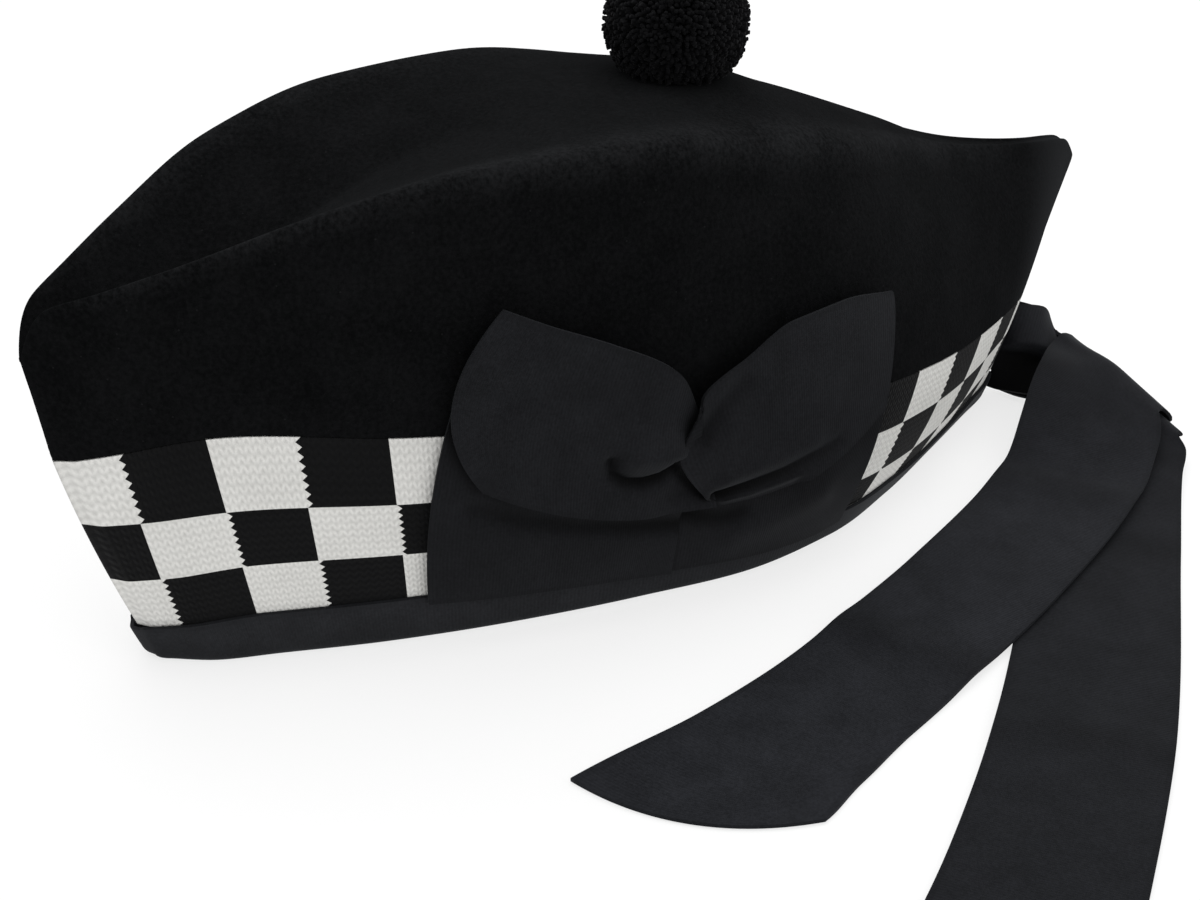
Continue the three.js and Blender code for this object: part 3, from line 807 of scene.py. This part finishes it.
print("roots move to the seam by", SEAT_AT_BINDING, "to", SEAT_AT_BAND, "mm")

# %% [markdown]
# Laid ribbon is never quite flat. Where a tail turns over, the corner of its fold sinks, and soft
# creases cross it further on, from the way it was kept. A crease has a height of a fraction of a
# millimetre and a share of painted shade, both strongest in its middle. The first row of the lower tail
# has no height: it is only the painted shadow that the upper tail casts across it.

# %% Creases and painted shadow of the tails
FOLD_CORNER = dict(run=42.0, long=10.0, reach=0.55)
CORNER_DROP = dict(tail_upper=4.8, tail_lower=3.2)
CROSS_FOLDS_AND_SHADOW = {
    "tail_upper": [
        dict(run=107.0, long=9.0, height=0.6, shade=0.32),
        dict(run=197.0, long=8.0, height=0.8, shade=0.32),
    ],
    "tail_lower": [
        # This row has no height: it is the painted shadow of the upper tail.
        dict(run=118.0, long=14.0, height=0.0, shade=0.52),
        dict(run=206.0, long=12.0, height=0.6, shade=0.46),
    ],
}


def cross_share(fold, run):
    return math.exp(-((run - fold["run"]) / fold["long"]) ** 2)


def corner_drop(tail, run, share):
    towards_edge = 1 - smooth_share(share, 0.0, FOLD_CORNER["reach"])
    return CORNER_DROP[tail["name"]] * cross_share(FOLD_CORNER, run) * towards_edge


print("creases:", {name: len(rows) for name, rows in CROSS_FOLDS_AND_SHADOW.items()})

# %% [markdown]
# Each tail is now cut and laid along its lines. The lower tail lies in the shade of the upper one over
# its whole length, and the upper one only near the cap.

# %% Ribbon tails
TAIL_STEPS = (220, 36)
TAIL_SHADE = 0.32
CAP_SHADE_RUN = (60.0, 120.0)


def tail_shape(tail):
    line = {column: track(tail["lines"], "run", column) for column in TAIL_COLUMNS[1:]}
    length = tail["lines"][-1]["run"]
    at_front = tail["name"] == "tail_lower"
    folds_and_shadow = CROSS_FOLDS_AND_SHADOW[tail["name"]]

    def place(share_along, share_across):
        run = length * share_along
        heading = math.radians(line["turn"](run))
        slope = math.radians(line["tilt"](run))
        across = Vector((
            math.cos(heading) * math.cos(slope),
            math.sin(heading) * math.cos(slope),
            math.sin(slope),
        ))
        onward = Vector((across.y, -across.x, 0)).normalized()
        middle = Vector((line["x"](run), line["y"](run), line["z"](run)))
        bulge = 4 * line["bow"](run) * share_across * (1 - share_across)
        point = middle + across * line["span"](run) * (share_across - 0.5) + onward * bulge
        point.y -= root_seat(run, point.z)
        point.z += sum(fold["height"] * cross_share(fold, run) for fold in folds_and_shadow)
        point.z -= corner_drop(tail, run, share_across)
        return point + root_fold(run, share_across) if at_front else point

    def shade(share_along, share_across):
        run = length * share_along
        crossing_shade = max(fold["shade"] * cross_share(fold, run) for fold in folds_and_shadow)
        if at_front:
            return max(crossing_shade, root_shade(run, share_across), TAIL_SHADE)
        return max(crossing_shade, TAIL_SHADE * (1 - smooth_share(run, *CAP_SHADE_RUN)))

    return place, shade, length


tails = []
for tail in TAILS:
    place, shade, length = tail_shape(tail)
    measure = even_measure(length, RIBBON_WIDTH)
    tail_bm, _ = cut_cloth(*TAIL_STEPS, place, measure, shade=shade)
    bmesh.ops.recalc_face_normals(tail_bm, faces=tail_bm.faces)
    piece = finish_piece(
        tail_bm, tail["name"] + "_ribbon", tail["name"], wall=RIBBON_THICK, wall_side=0.0
    )
    tails.append(piece)

# %% [markdown]
# The toorie is a ball of cut wool yarn. Hair particles could stand for it, but they do not leave
# Blender as a mesh. So one short strand of yarn is made first, a thin cone of five sides that is a
# little wider at its cut end.

# %% Strand of yarn
STRAND_LENGTH = 7.0
STRAND_ROOT = 0.42
STRAND_TIP = 0.52

strand_bm = bmesh.new()
bmesh.ops.create_cone(
    strand_bm, cap_ends=True, segments=5, radius1=STRAND_ROOT * MM, radius2=STRAND_TIP * MM,
    depth=STRAND_LENGTH * MM,
)
strand = bpy.data.meshes.new("strand")
strand_bm.to_mesh(strand)
strand_bm.free()
print("strand faces:", len(strand.polygons))

# %% [markdown]
# The strand is copied over a hidden core, on a spiral that spreads the copies evenly, each set off and
# leaning a little its own way. The seed is fixed, so every run gives the same ball. Strands that would
# run into the crown are left out, so the ball sits on the cloth.

# %% Toorie
TOORIE_MIDDLE = Vector((0, 16.5, 131.5))
TOORIE_RADIUS = 18.0
CORE_RADIUS = 13.0
STRANDS = 5600
SCATTER = 0.05
LEAN = 0.34
UNEVEN_CUT = (-1.6, 0.4)
SEED = 7

random.seed(SEED)


def scatter(reach):
    return Vector([random.uniform(-reach, reach) for _ in range(3)])


toorie_bm = bmesh.new()
bmesh.ops.create_icosphere(
    toorie_bm, subdivisions=3, radius=CORE_RADIUS * MM,
    matrix=Matrix.Translation(TOORIE_MIDDLE * MM),
)
golden_turn = math.pi * (3 - math.sqrt(5))
kept = 0
for i in range(STRANDS):
    height = 1 - 2 * (i + 0.5) / STRANDS
    reach = math.sqrt(1 - height * height)
    out = Vector((reach * math.cos(golden_turn * i), reach * math.sin(golden_turn * i), height))
    out = (out + scatter(SCATTER)).normalized()
    heading = (out + scatter(LEAN)).normalized()
    tip = TOORIE_MIDDLE + out * (TOORIE_RADIUS + random.uniform(*UNEVEN_CUT))
    along = (tip.y - RIDGE_MIDDLE_Y) / RIDGE_HALF_LENGTH
    across = tip.x / section_at(along)["ridge"]
    if tip.z < crown_skin(along, across).z + STRAND_TIP:
        continue
    middle = tip - heading * STRAND_LENGTH / 2
    turned = heading.to_track_quat("Z", "Y").to_matrix().to_4x4()
    matrix = Matrix.Translation(middle * MM) @ turned
    strand.transform(matrix)
    toorie_bm.from_mesh(strand)
    strand.transform(matrix.inverted())
    kept += 1
toorie_yarn = finish_piece(toorie_bm, "toorie_yarn", "toorie")
print("strands kept:", kept)

# %% [markdown]
# Materials come next, and four helpers keep the node work short: one adds a node, one a sum, one a
# smooth ramp, one a blend of two colours. A value that is handed to them is linked if it is a socket,
# and set on the node if it is a plain number or colour.

# %% Node helpers
def feed(tree, socket, value):
    if isinstance(value, bpy.types.NodeSocket):
        tree.links.new(value, socket)
    else:
        socket.default_value = value


def add_node(tree, kind, **values):
    node = tree.nodes.new(kind)
    for name, value in values.items():
        feed(tree, node.inputs[name.replace("_", " ")], value)
    return node


def calc(tree, operation, *values):
    node = tree.nodes.new("ShaderNodeMath")
    node.operation = operation
    for socket, value in zip(node.inputs, values):
        feed(tree, socket, value)
    return node.outputs[0]


def ramp(tree, value, from_range, to_range=(0.0, 1.0)):
    node = add_node(
        tree, "ShaderNodeMapRange", Value=value, From_Min=from_range[0], From_Max=from_range[1],
        To_Min=to_range[0], To_Max=to_range[1],
    )
    node.interpolation_type = "SMOOTHSTEP"
    return node.outputs["Result"]


def blend_colours(tree, share, first, second, mode="MIX"):
    node = tree.nodes.new("ShaderNodeMix")
    node.data_type = "RGBA"
    node.blend_type = mode
    feed(tree, node.inputs["Factor"], share)
    feed(tree, node.inputs[6], first)
    feed(tree, node.inputs[7], second)
    return node.outputs[2]


print("helpers: nodes, sums, ramps and blends")

# %% [markdown]
# A texture needs to know where it is. The UV map counts in the cloth's own measure and suits weave and
# checks; the place on the object suits fibres, which run in no one direction. A bump stands for relief
# that is too fine for the mesh.

# %% Places and bumps
def cloth_map(tree):
    node = tree.nodes.new("ShaderNodeUVMap")
    node.uv_map = "UVMap"
    return node.outputs["UV"]


def piece_place(tree):
    return tree.nodes.new("ShaderNodeTexCoord").outputs["Object"]


def add_bump(tree, shader, height, strength, distance):
    bump = add_node(
        tree, "ShaderNodeBump", Height=height, Strength=strength, Distance=distance * MM
    )
    tree.links.new(bump.outputs["Normal"], shader.inputs["Normal"])


print("bumps are given in mm")

# %% [markdown]
# An effect that several finishes share is a node group, built once and placed in each of them. The
# shader itself stays in the material, and values that are the same all over are set on its sockets.

# %% Groups and finishes
SHEEN_ROUGHNESS = 0.5


def new_group(name, inputs, outputs):
    tree = bpy.data.node_groups.new(name, "ShaderNodeTree")
    for in_out, sockets in (("INPUT", inputs), ("OUTPUT", outputs)):
        for socket_name, kind in sockets.items():
            tree.interface.new_socket(socket_name, in_out=in_out, socket_type="NodeSocket" + kind)
    return tree, tree.nodes.new("NodeGroupInput").outputs, tree.nodes.new("NodeGroupOutput").inputs


def place_group(tree, group, **values):
    node = tree.nodes.new("ShaderNodeGroup")
    node.node_tree = group
    for name, value in values.items():
        feed(tree, node.inputs[name.replace("_", " ")], value)
    return node.outputs


def new_finish(name, roughness, specular, sheen, sheen_tint):
    material = bpy.data.materials.new(name)
    material.use_nodes = True
    tree = material.node_tree
    shader = tree.nodes["Principled BSDF"]
    shader.inputs["Roughness"].default_value = roughness
    shader.inputs["Specular IOR Level"].default_value = specular
    shader.inputs["Sheen Weight"].default_value = sheen
    shader.inputs["Sheen Roughness"].default_value = SHEEN_ROUGHNESS
    shader.inputs["Sheen Tint"].default_value = sheen_tint
    return material, tree, shader


print("sheen roughness of every cloth:", SHEEN_ROUGHNESS)

# %% [markdown]
# Wool, knit, ribbon and yarn all have fibres, so one node group gives fibre tone and fibre height.
# Fine noise stands for the hairs and coarser noise for the lie of the nap. Small dots of a cell
# pattern stand for lint. Each finish asks for its own fineness.

# %% Fibre group
NAP_SCALE = 0.06
LINT_SCALE = 0.25
LINT_SIZE = 0.05
HAIR_SHARE = 0.65

fibre, fibre_in, fibre_out = new_group(
    "fibre_nap", dict(Place="Vector", Fineness="Float"), dict(Tone="Float", Height="Float", Lint="Float")
)
hair = add_node(
    fibre, "ShaderNodeTexNoise", Vector=fibre_in["Place"], Scale=fibre_in["Fineness"],
    Detail=6.0, Roughness=0.65,
)
nap_scale = calc(fibre, "MULTIPLY", fibre_in["Fineness"], NAP_SCALE)
nap = add_node(
    fibre, "ShaderNodeTexNoise", Vector=fibre_in["Place"], Scale=nap_scale, Detail=3.0, Roughness=0.6
)
hair_tone = calc(fibre, "MULTIPLY", hair.outputs["Fac"], HAIR_SHARE)
nap_tone = calc(fibre, "MULTIPLY", nap.outputs["Fac"], 1 - HAIR_SHARE)
lint_scale = calc(fibre, "MULTIPLY", fibre_in["Fineness"], LINT_SCALE)
lint = add_node(fibre, "ShaderNodeTexVoronoi", Vector=fibre_in["Place"], Scale=lint_scale)
speck = calc(fibre, "LESS_THAN", lint.outputs["Distance"], LINT_SIZE)
fibre.links.new(calc(fibre, "ADD", hair_tone, nap_tone), fibre_out["Tone"])
fibre.links.new(hair.outputs["Fac"], fibre_out["Height"])
fibre.links.new(speck, fibre_out["Lint"])
print("group:", fibre.name)

# %% [markdown]
# Dark cloth gives almost no light back into its own creases, so they look deeper than the folds are.
# A second group measures how open a point is to the air around it and darkens the closed places, and
# takes off the share of shade that the point keeps from its fold.

# %% Crease group
CREASE_REACH = 12.0
CREASE_OPENNESS = (0.45, 0.97)

crease, crease_in, crease_out = new_group(
    "crease_shade", {"Fold Shade": "Float", "Deepest": "Float"}, dict(Shade="Float")
)
openness = add_node(crease, "ShaderNodeAmbientOcclusion", Distance=CREASE_REACH * MM)
openness.samples = 8
closed = ramp(crease, openness.outputs["AO"], CREASE_OPENNESS, (crease_in["Deepest"], 1.0))
lit = calc(crease, "SUBTRACT", 1.0, crease_in["Fold Shade"])
crease.links.new(calc(crease, "MULTIPLY", lit, closed), crease_out["Shade"])
print("group:", crease.name)

# %% [markdown]
# Ribbon is corded: fine ribs cross it, and a smooth selvedge runs down each edge. The UV map is in
# millimetres of ribbon, so the ribs keep one size on the rosette, the tails and the binding. The
# three ribbon finishes share this weave, so it is a group as well.

# %% Ribbon weave group
RIB_PITCH = 0.7
RIB_SHARE = 0.08
RIB_NAP = 0.4
SELVEDGE = 1.3
RIBBON_TONES = (0.25, 0.8)

weave, weave_in, weave_out = new_group(
    "ribbon_weave", {"Flat": "Vector", "Nap Tone": "Float", "Nap Height": "Float"},
    dict(Tone="Float", Selvedge="Float", Height="Float"),
)
weave_split = add_node(weave, "ShaderNodeSeparateXYZ", Vector=weave_in["Flat"])
rib_phase = calc(weave, "MULTIPLY", weave_split.outputs["X"], 1.0 / RIB_PITCH)
rib = calc(weave, "MULTIPLY", calc(weave, "PINGPONG", rib_phase, 0.5), 2.0)
from_edge = calc(weave, "PINGPONG", weave_split.outputs["Y"], RIBBON_WIDTH / 2)
nap_share = calc(weave, "MULTIPLY", weave_in["Nap Tone"], 1 - RIB_SHARE)
rib_share = calc(weave, "MULTIPLY", rib, RIB_SHARE)
rib_tone = calc(weave, "ADD", nap_share, rib_share)
rib_height = calc(weave, "ADD", rib, calc(weave, "MULTIPLY", weave_in["Nap Height"], RIB_NAP))
weave.links.new(ramp(weave, rib_tone, RIBBON_TONES), weave_out["Tone"])
weave.links.new(calc(weave, "LESS_THAN", from_edge, SELVEDGE), weave_out["Selvedge"])
weave.links.new(rib_height, weave_out["Height"])
print("group:", weave.name)

# %% [markdown]
# Felted wool is nearly black, with paler hairs and a little lint on its surface. A picture of felt could
# be laid on it, but noise has no seam and no end. The sheen lifts the cloth where the light grazes the
# crown and the rounded ridge, as short fibres do.

# %% Felt colours
FELT_DARK = (0.0020, 0.0021, 0.0022, 1.0)
FELT_LIGHT = (0.0056, 0.0057, 0.0061, 1.0)
FELT_LINT = (0.02, 0.02, 0.021, 1.0)
FELT_TONES = (0.3, 0.75)
LINT_SHARE = 0.25

felt, felt_tree, felt_shader = new_finish(
    "felted_wool", roughness=0.95, specular=0.0, sheen=0.015, sheen_tint=(0.75, 0.78, 0.82, 1.0)
)
felt_nap = place_group(felt_tree, fibre, Place=piece_place(felt_tree), Fineness=900.0)
felt_tone = ramp(felt_tree, felt_nap["Tone"], FELT_TONES)
felt_colour = blend_colours(felt_tree, felt_tone, FELT_DARK, FELT_LIGHT)
felt_lint = calc(felt_tree, "MULTIPLY", felt_nap["Lint"], LINT_SHARE)
felt_colour = blend_colours(felt_tree, felt_lint, felt_colour, FELT_LINT)
add_bump(felt_tree, felt_shader, felt_nap["Height"], strength=0.5, distance=0.6)
felt_body.data.materials.append(felt)
print("finish:", felt.name)

# %% [markdown]
# The fold of the ridge and the back edge are painted paler: a painted highlight where the light catches
# the nap. It could be painted by hand, but the UV map already tells how far a point is from them. One
# mask is 1 on the fold, away from the ends, and is broken up by the nap; another rises smoothly towards
# the back edge. The stronger of the two counts.

# %% Felt painted highlight
# Colour of the painted highlight.
FELT_HIGHLIGHT = (0.014, 0.0145, 0.0155, 1.0)
FOLD_HIGHLIGHT = 0.65
FOLD_REACH = 0.05
BACK_HIGHLIGHT = 1.0
HIGHLIGHT_STARTS = (0.03, 0.13)
HIGHLIGHT_STOPS = (0.70, 0.88)
BACK_EDGE = (0.83, 0.95)

felt_split = add_node(felt_tree, "ShaderNodeSeparateXYZ", Vector=cloth_map(felt_tree))
felt_along, felt_across = felt_split.outputs["X"], felt_split.outputs["Y"]
up_share = calc(felt_tree, "PINGPONG", felt_across, 0.5)
from_fold = calc(felt_tree, "ABSOLUTE", calc(felt_tree, "SUBTRACT", up_share, RIDGE_SHARE))
on_fold = ramp(felt_tree, from_fold, (0.0, FOLD_REACH), (1.0, 0.0))
past_front = ramp(felt_tree, felt_along, HIGHLIGHT_STARTS)
before_back = ramp(felt_tree, felt_along, HIGHLIGHT_STOPS, (1.0, 0.0))
off_ends = calc(felt_tree, "MULTIPLY", past_front, before_back)
on_fold = calc(felt_tree, "MULTIPLY", on_fold, off_ends)
# Painted highlight along the ridge fold, broken up by the nap, and towards the back edge.
fold_highlight = calc(felt_tree, "MULTIPLY", calc(felt_tree, "MULTIPLY", on_fold, felt_tone), FOLD_HIGHLIGHT)
back_highlight = ramp(felt_tree, felt_along, BACK_EDGE, (0.0, BACK_HIGHLIGHT))
painted_highlight = calc(felt_tree, "MAXIMUM", fold_highlight, back_highlight)
felt_colour = blend_colours(felt_tree, painted_highlight, felt_colour, FELT_HIGHLIGHT)
felt_tree.links.new(felt_colour, felt_shader.inputs["Base Color"])
# Strengths of the painted highlight on the fold and at the back.
print("wear on the fold:", FOLD_HIGHLIGHT, "and at the back:", BACK_HIGHLIGHT)

# %% [markdown]
# The dicing is worked from the check number and the row: a check is white when their sum is odd.
# The knitting steps a stitch at a time, so the back edge of every white check has small teeth. They
# come from asking twice, once at the point and once a tooth's depth further on.

# %% Diced checks
STITCH_ROWS = 7.5
TOOTH_DEPTH = 0.06

knit, knit_tree, knit_shader = new_finish(
    "diced_knit", roughness=0.92, specular=0.05, sheen=0.04, sheen_tint=(0.8, 0.8, 0.8, 1.0)
)
knit_split = add_node(knit_tree, "ShaderNodeSeparateXYZ", Vector=cloth_map(knit_tree))
check_number, check_row = knit_split.outputs["X"], knit_split.outputs["Y"]
stitch_up = calc(knit_tree, "MULTIPLY", check_row, STITCH_ROWS)
tooth = calc(knit_tree, "MULTIPLY", calc(knit_tree, "PINGPONG", stitch_up, 0.5), 2 * TOOTH_DEPTH)
row_whole = calc(knit_tree, "MINIMUM", calc(knit_tree, "FLOOR", check_row), CHECK_ROWS - 1.0)


def white_check(number):
    both = calc(knit_tree, "ADD", calc(knit_tree, "FLOOR", number), row_whole)
    return calc(knit_tree, "FLOORED_MODULO", both, 2.0)


further_on = calc(knit_tree, "SUBTRACT", check_number, tooth)
white = calc(knit_tree, "MAXIMUM", white_check(check_number), white_check(further_on))
print("teeth at the edge of a check:", STITCH_ROWS)

# %% [markdown]
# Stitches are little V shapes, drawn by leaning the stitch rows each way from the stitch's middle.
# Between two columns of stitches runs a furrow. Both shape the surface, and where it sinks the wool is
# painted a little darker, as shade in the knit.

# %% Knit finish
STITCHES_A_CHECK = 9.0
LEG_SHARE = 0.6
KNIT_NAP = 0.5
STITCH_SHADE = (0.8, 1.0)
WHITE_WOOL = ((0.46, 0.455, 0.435, 1.0), (0.78, 0.775, 0.75, 1.0))
BLACK_WOOL = ((0.0018, 0.0018, 0.002, 1.0), (0.0065, 0.0066, 0.007, 1.0))

stitch_along = calc(knit_tree, "MULTIPLY", check_number, STITCHES_A_CHECK)
leaning = calc(knit_tree, "ADD", stitch_up, calc(knit_tree, "PINGPONG", stitch_along, 0.5))
leg = calc(knit_tree, "MULTIPLY", calc(knit_tree, "PINGPONG", leaning, 0.5), 2.0)
two_legs = calc(knit_tree, "MULTIPLY", stitch_along, 2.0)
furrow = calc(knit_tree, "MULTIPLY", calc(knit_tree, "PINGPONG", two_legs, 0.5), 2.0)
leg_part = calc(knit_tree, "MULTIPLY", leg, LEG_SHARE)
stitch = calc(knit_tree, "ADD", leg_part, calc(knit_tree, "MULTIPLY", furrow, 1 - LEG_SHARE))
knit_nap = place_group(knit_tree, fibre, Place=piece_place(knit_tree), Fineness=1100.0)
white_wool = blend_colours(knit_tree, knit_nap["Tone"], *WHITE_WOOL)
black_wool = blend_colours(knit_tree, knit_nap["Tone"], *BLACK_WOOL)
knit_colour = blend_colours(knit_tree, white, black_wool, white_wool)
# Painted shade where the stitches sink.
stitch_shade = ramp(knit_tree, stitch, (0.0, 1.0), STITCH_SHADE)
knit_colour = blend_colours(knit_tree, 1.0, knit_colour, stitch_shade, "MULTIPLY")
knit_tree.links.new(knit_colour, knit_shader.inputs["Base Color"])
knit_height = calc(knit_tree, "ADD", stitch, calc(knit_tree, "MULTIPLY", knit_nap["Height"], KNIT_NAP))
add_bump(knit_tree, knit_shader, knit_height, strength=0.5, distance=0.5)
diced_knit.data.materials.append(knit)
print("finish:", knit.name)

# %% [markdown]
# The ribbon's colour is near black with a cold tinge. It is given as three finishes of the one ribbon,
# each with its own tones and its own depth of painted crease shade. The wings of the rosette, loose and
# deep in their gathers, get darker tones as painted shade; the tails, open on the table, get lighter
# tones as painted light; the binding, pulled tight round the rim, gets lighter tones as well.

# %% Ribbon finishes
SELVEDGE_SHARE = 0.25


def ribbon_finish(name, dark, light, deepest):
    finish, tree, shader = new_finish(
        name, roughness=0.75, specular=0.05, sheen=0.03, sheen_tint=(0.8, 0.85, 0.92, 1.0)
    )
    nap = place_group(tree, fibre, Place=piece_place(tree), Fineness=1400.0)
    cord = place_group(
        tree, weave, Flat=cloth_map(tree), Nap_Tone=nap["Tone"], Nap_Height=nap["Height"]
    )
    colour = blend_colours(tree, cord["Tone"], dark, light)
    edge_share = calc(tree, "MULTIPLY", cord["Selvedge"], SELVEDGE_SHARE)
    colour = blend_colours(tree, edge_share, colour, dark)
    fold_shade = add_node(tree, "ShaderNodeAttribute")
    fold_shade.attribute_name = "fold_shade"
    fold = place_group(tree, crease, Fold_Shade=fold_shade.outputs["Fac"], Deepest=deepest)
    colour = blend_colours(tree, 1.0, colour, fold["Shade"], "MULTIPLY")
    tree.links.new(colour, shader.inputs["Base Color"])
    add_bump(tree, shader, cord["Height"], strength=0.15, distance=0.2)
    return finish


# The rosette's wings: darker tones as painted shade.
shaded_loose_ribbon = ribbon_finish(
    "shaded_loose_ribbon", dark=(0.0036, 0.0037, 0.0043, 1.0), light=(0.0114, 0.0119, 0.0137, 1.0), deepest=0.15
)
# The tails: lighter tones as painted light.
lit_laid_ribbon = ribbon_finish(
    "lit_laid_ribbon", dark=(0.0048, 0.0051, 0.0062, 1.0), light=(0.0161, 0.0170, 0.0204, 1.0), deepest=0.85
)
lit_bound_ribbon = ribbon_finish(
    "lit_bound_ribbon", dark=(0.0065, 0.0067, 0.0076, 1.0), light=(0.0185, 0.0193, 0.0218, 1.0), deepest=0.8
)
binding_ribbon.data.materials.append(lit_bound_ribbon)
for piece in rosette:
    piece.data.materials.append(shaded_loose_ribbon)
for piece in tails:
    piece.data.materials.append(lit_laid_ribbon)
print("finishes:", shaded_loose_ribbon.name, lit_laid_ribbon.name, lit_bound_ribbon.name)

# %% [markdown]
# The yarn is the same black wool, spun, and a little deeper in tone, because light is lost between the
# strands. The fibre group gives it enough change of tone from strand to strand.

# %% Yarn finish
YARN_DARK = (0.0012, 0.0012, 0.0014, 1.0)
YARN_LIGHT = (0.0055, 0.0055, 0.006, 1.0)

yarn, yarn_tree, yarn_shader = new_finish(
    "black_yarn", roughness=0.97, specular=0.03, sheen=0.03, sheen_tint=(0.75, 0.76, 0.8, 1.0)
)
yarn_nap = place_group(yarn_tree, fibre, Place=piece_place(yarn_tree), Fineness=1500.0)
yarn_colour = blend_colours(yarn_tree, yarn_nap["Tone"], YARN_DARK, YARN_LIGHT)
yarn_tree.links.new(yarn_colour, yarn_shader.inputs["Base Color"])
add_bump(yarn_tree, yarn_shader, yarn_nap["Height"], strength=0.6, distance=0.4)
toorie_yarn.data.materials.append(yarn)
print("finish:", yarn.name)

# %% [markdown]
# The table is plain and pale, with a trace of unevenness so that it is not a flat colour. Strong lamps
# could bleach it, but they would also lift the black cloth. So it is a light box: it gives light of its
# own, and the cap throws only a faint shadow on it.

# %% Table finish
TABLE_DARK = (0.20, 0.20, 0.20, 1.0)
TABLE_LIGHT = (0.21, 0.21, 0.21, 1.0)
WHITE = (1.0, 1.0, 1.0, 1.0)
TABLE_GLOW = 0.72

table_finish, table_tree, table_shader = new_finish(
    "pale_table", roughness=0.7, specular=0.2, sheen=0.0, sheen_tint=WHITE
)
table_grain = add_node(
    table_tree, "ShaderNodeTexNoise", Vector=piece_place(table_tree), Scale=6.0, Detail=3.0
)
table_colour = blend_colours(table_tree, table_grain.outputs["Fac"], TABLE_DARK, TABLE_LIGHT)
table_shader.inputs["Emission Color"].default_value = WHITE
table_shader.inputs["Emission Strength"].default_value = TABLE_GLOW
table_tree.links.new(table_colour, table_shader.inputs["Base Color"])
table.data.materials.append(table_finish)
print("finish:", table_finish.name)
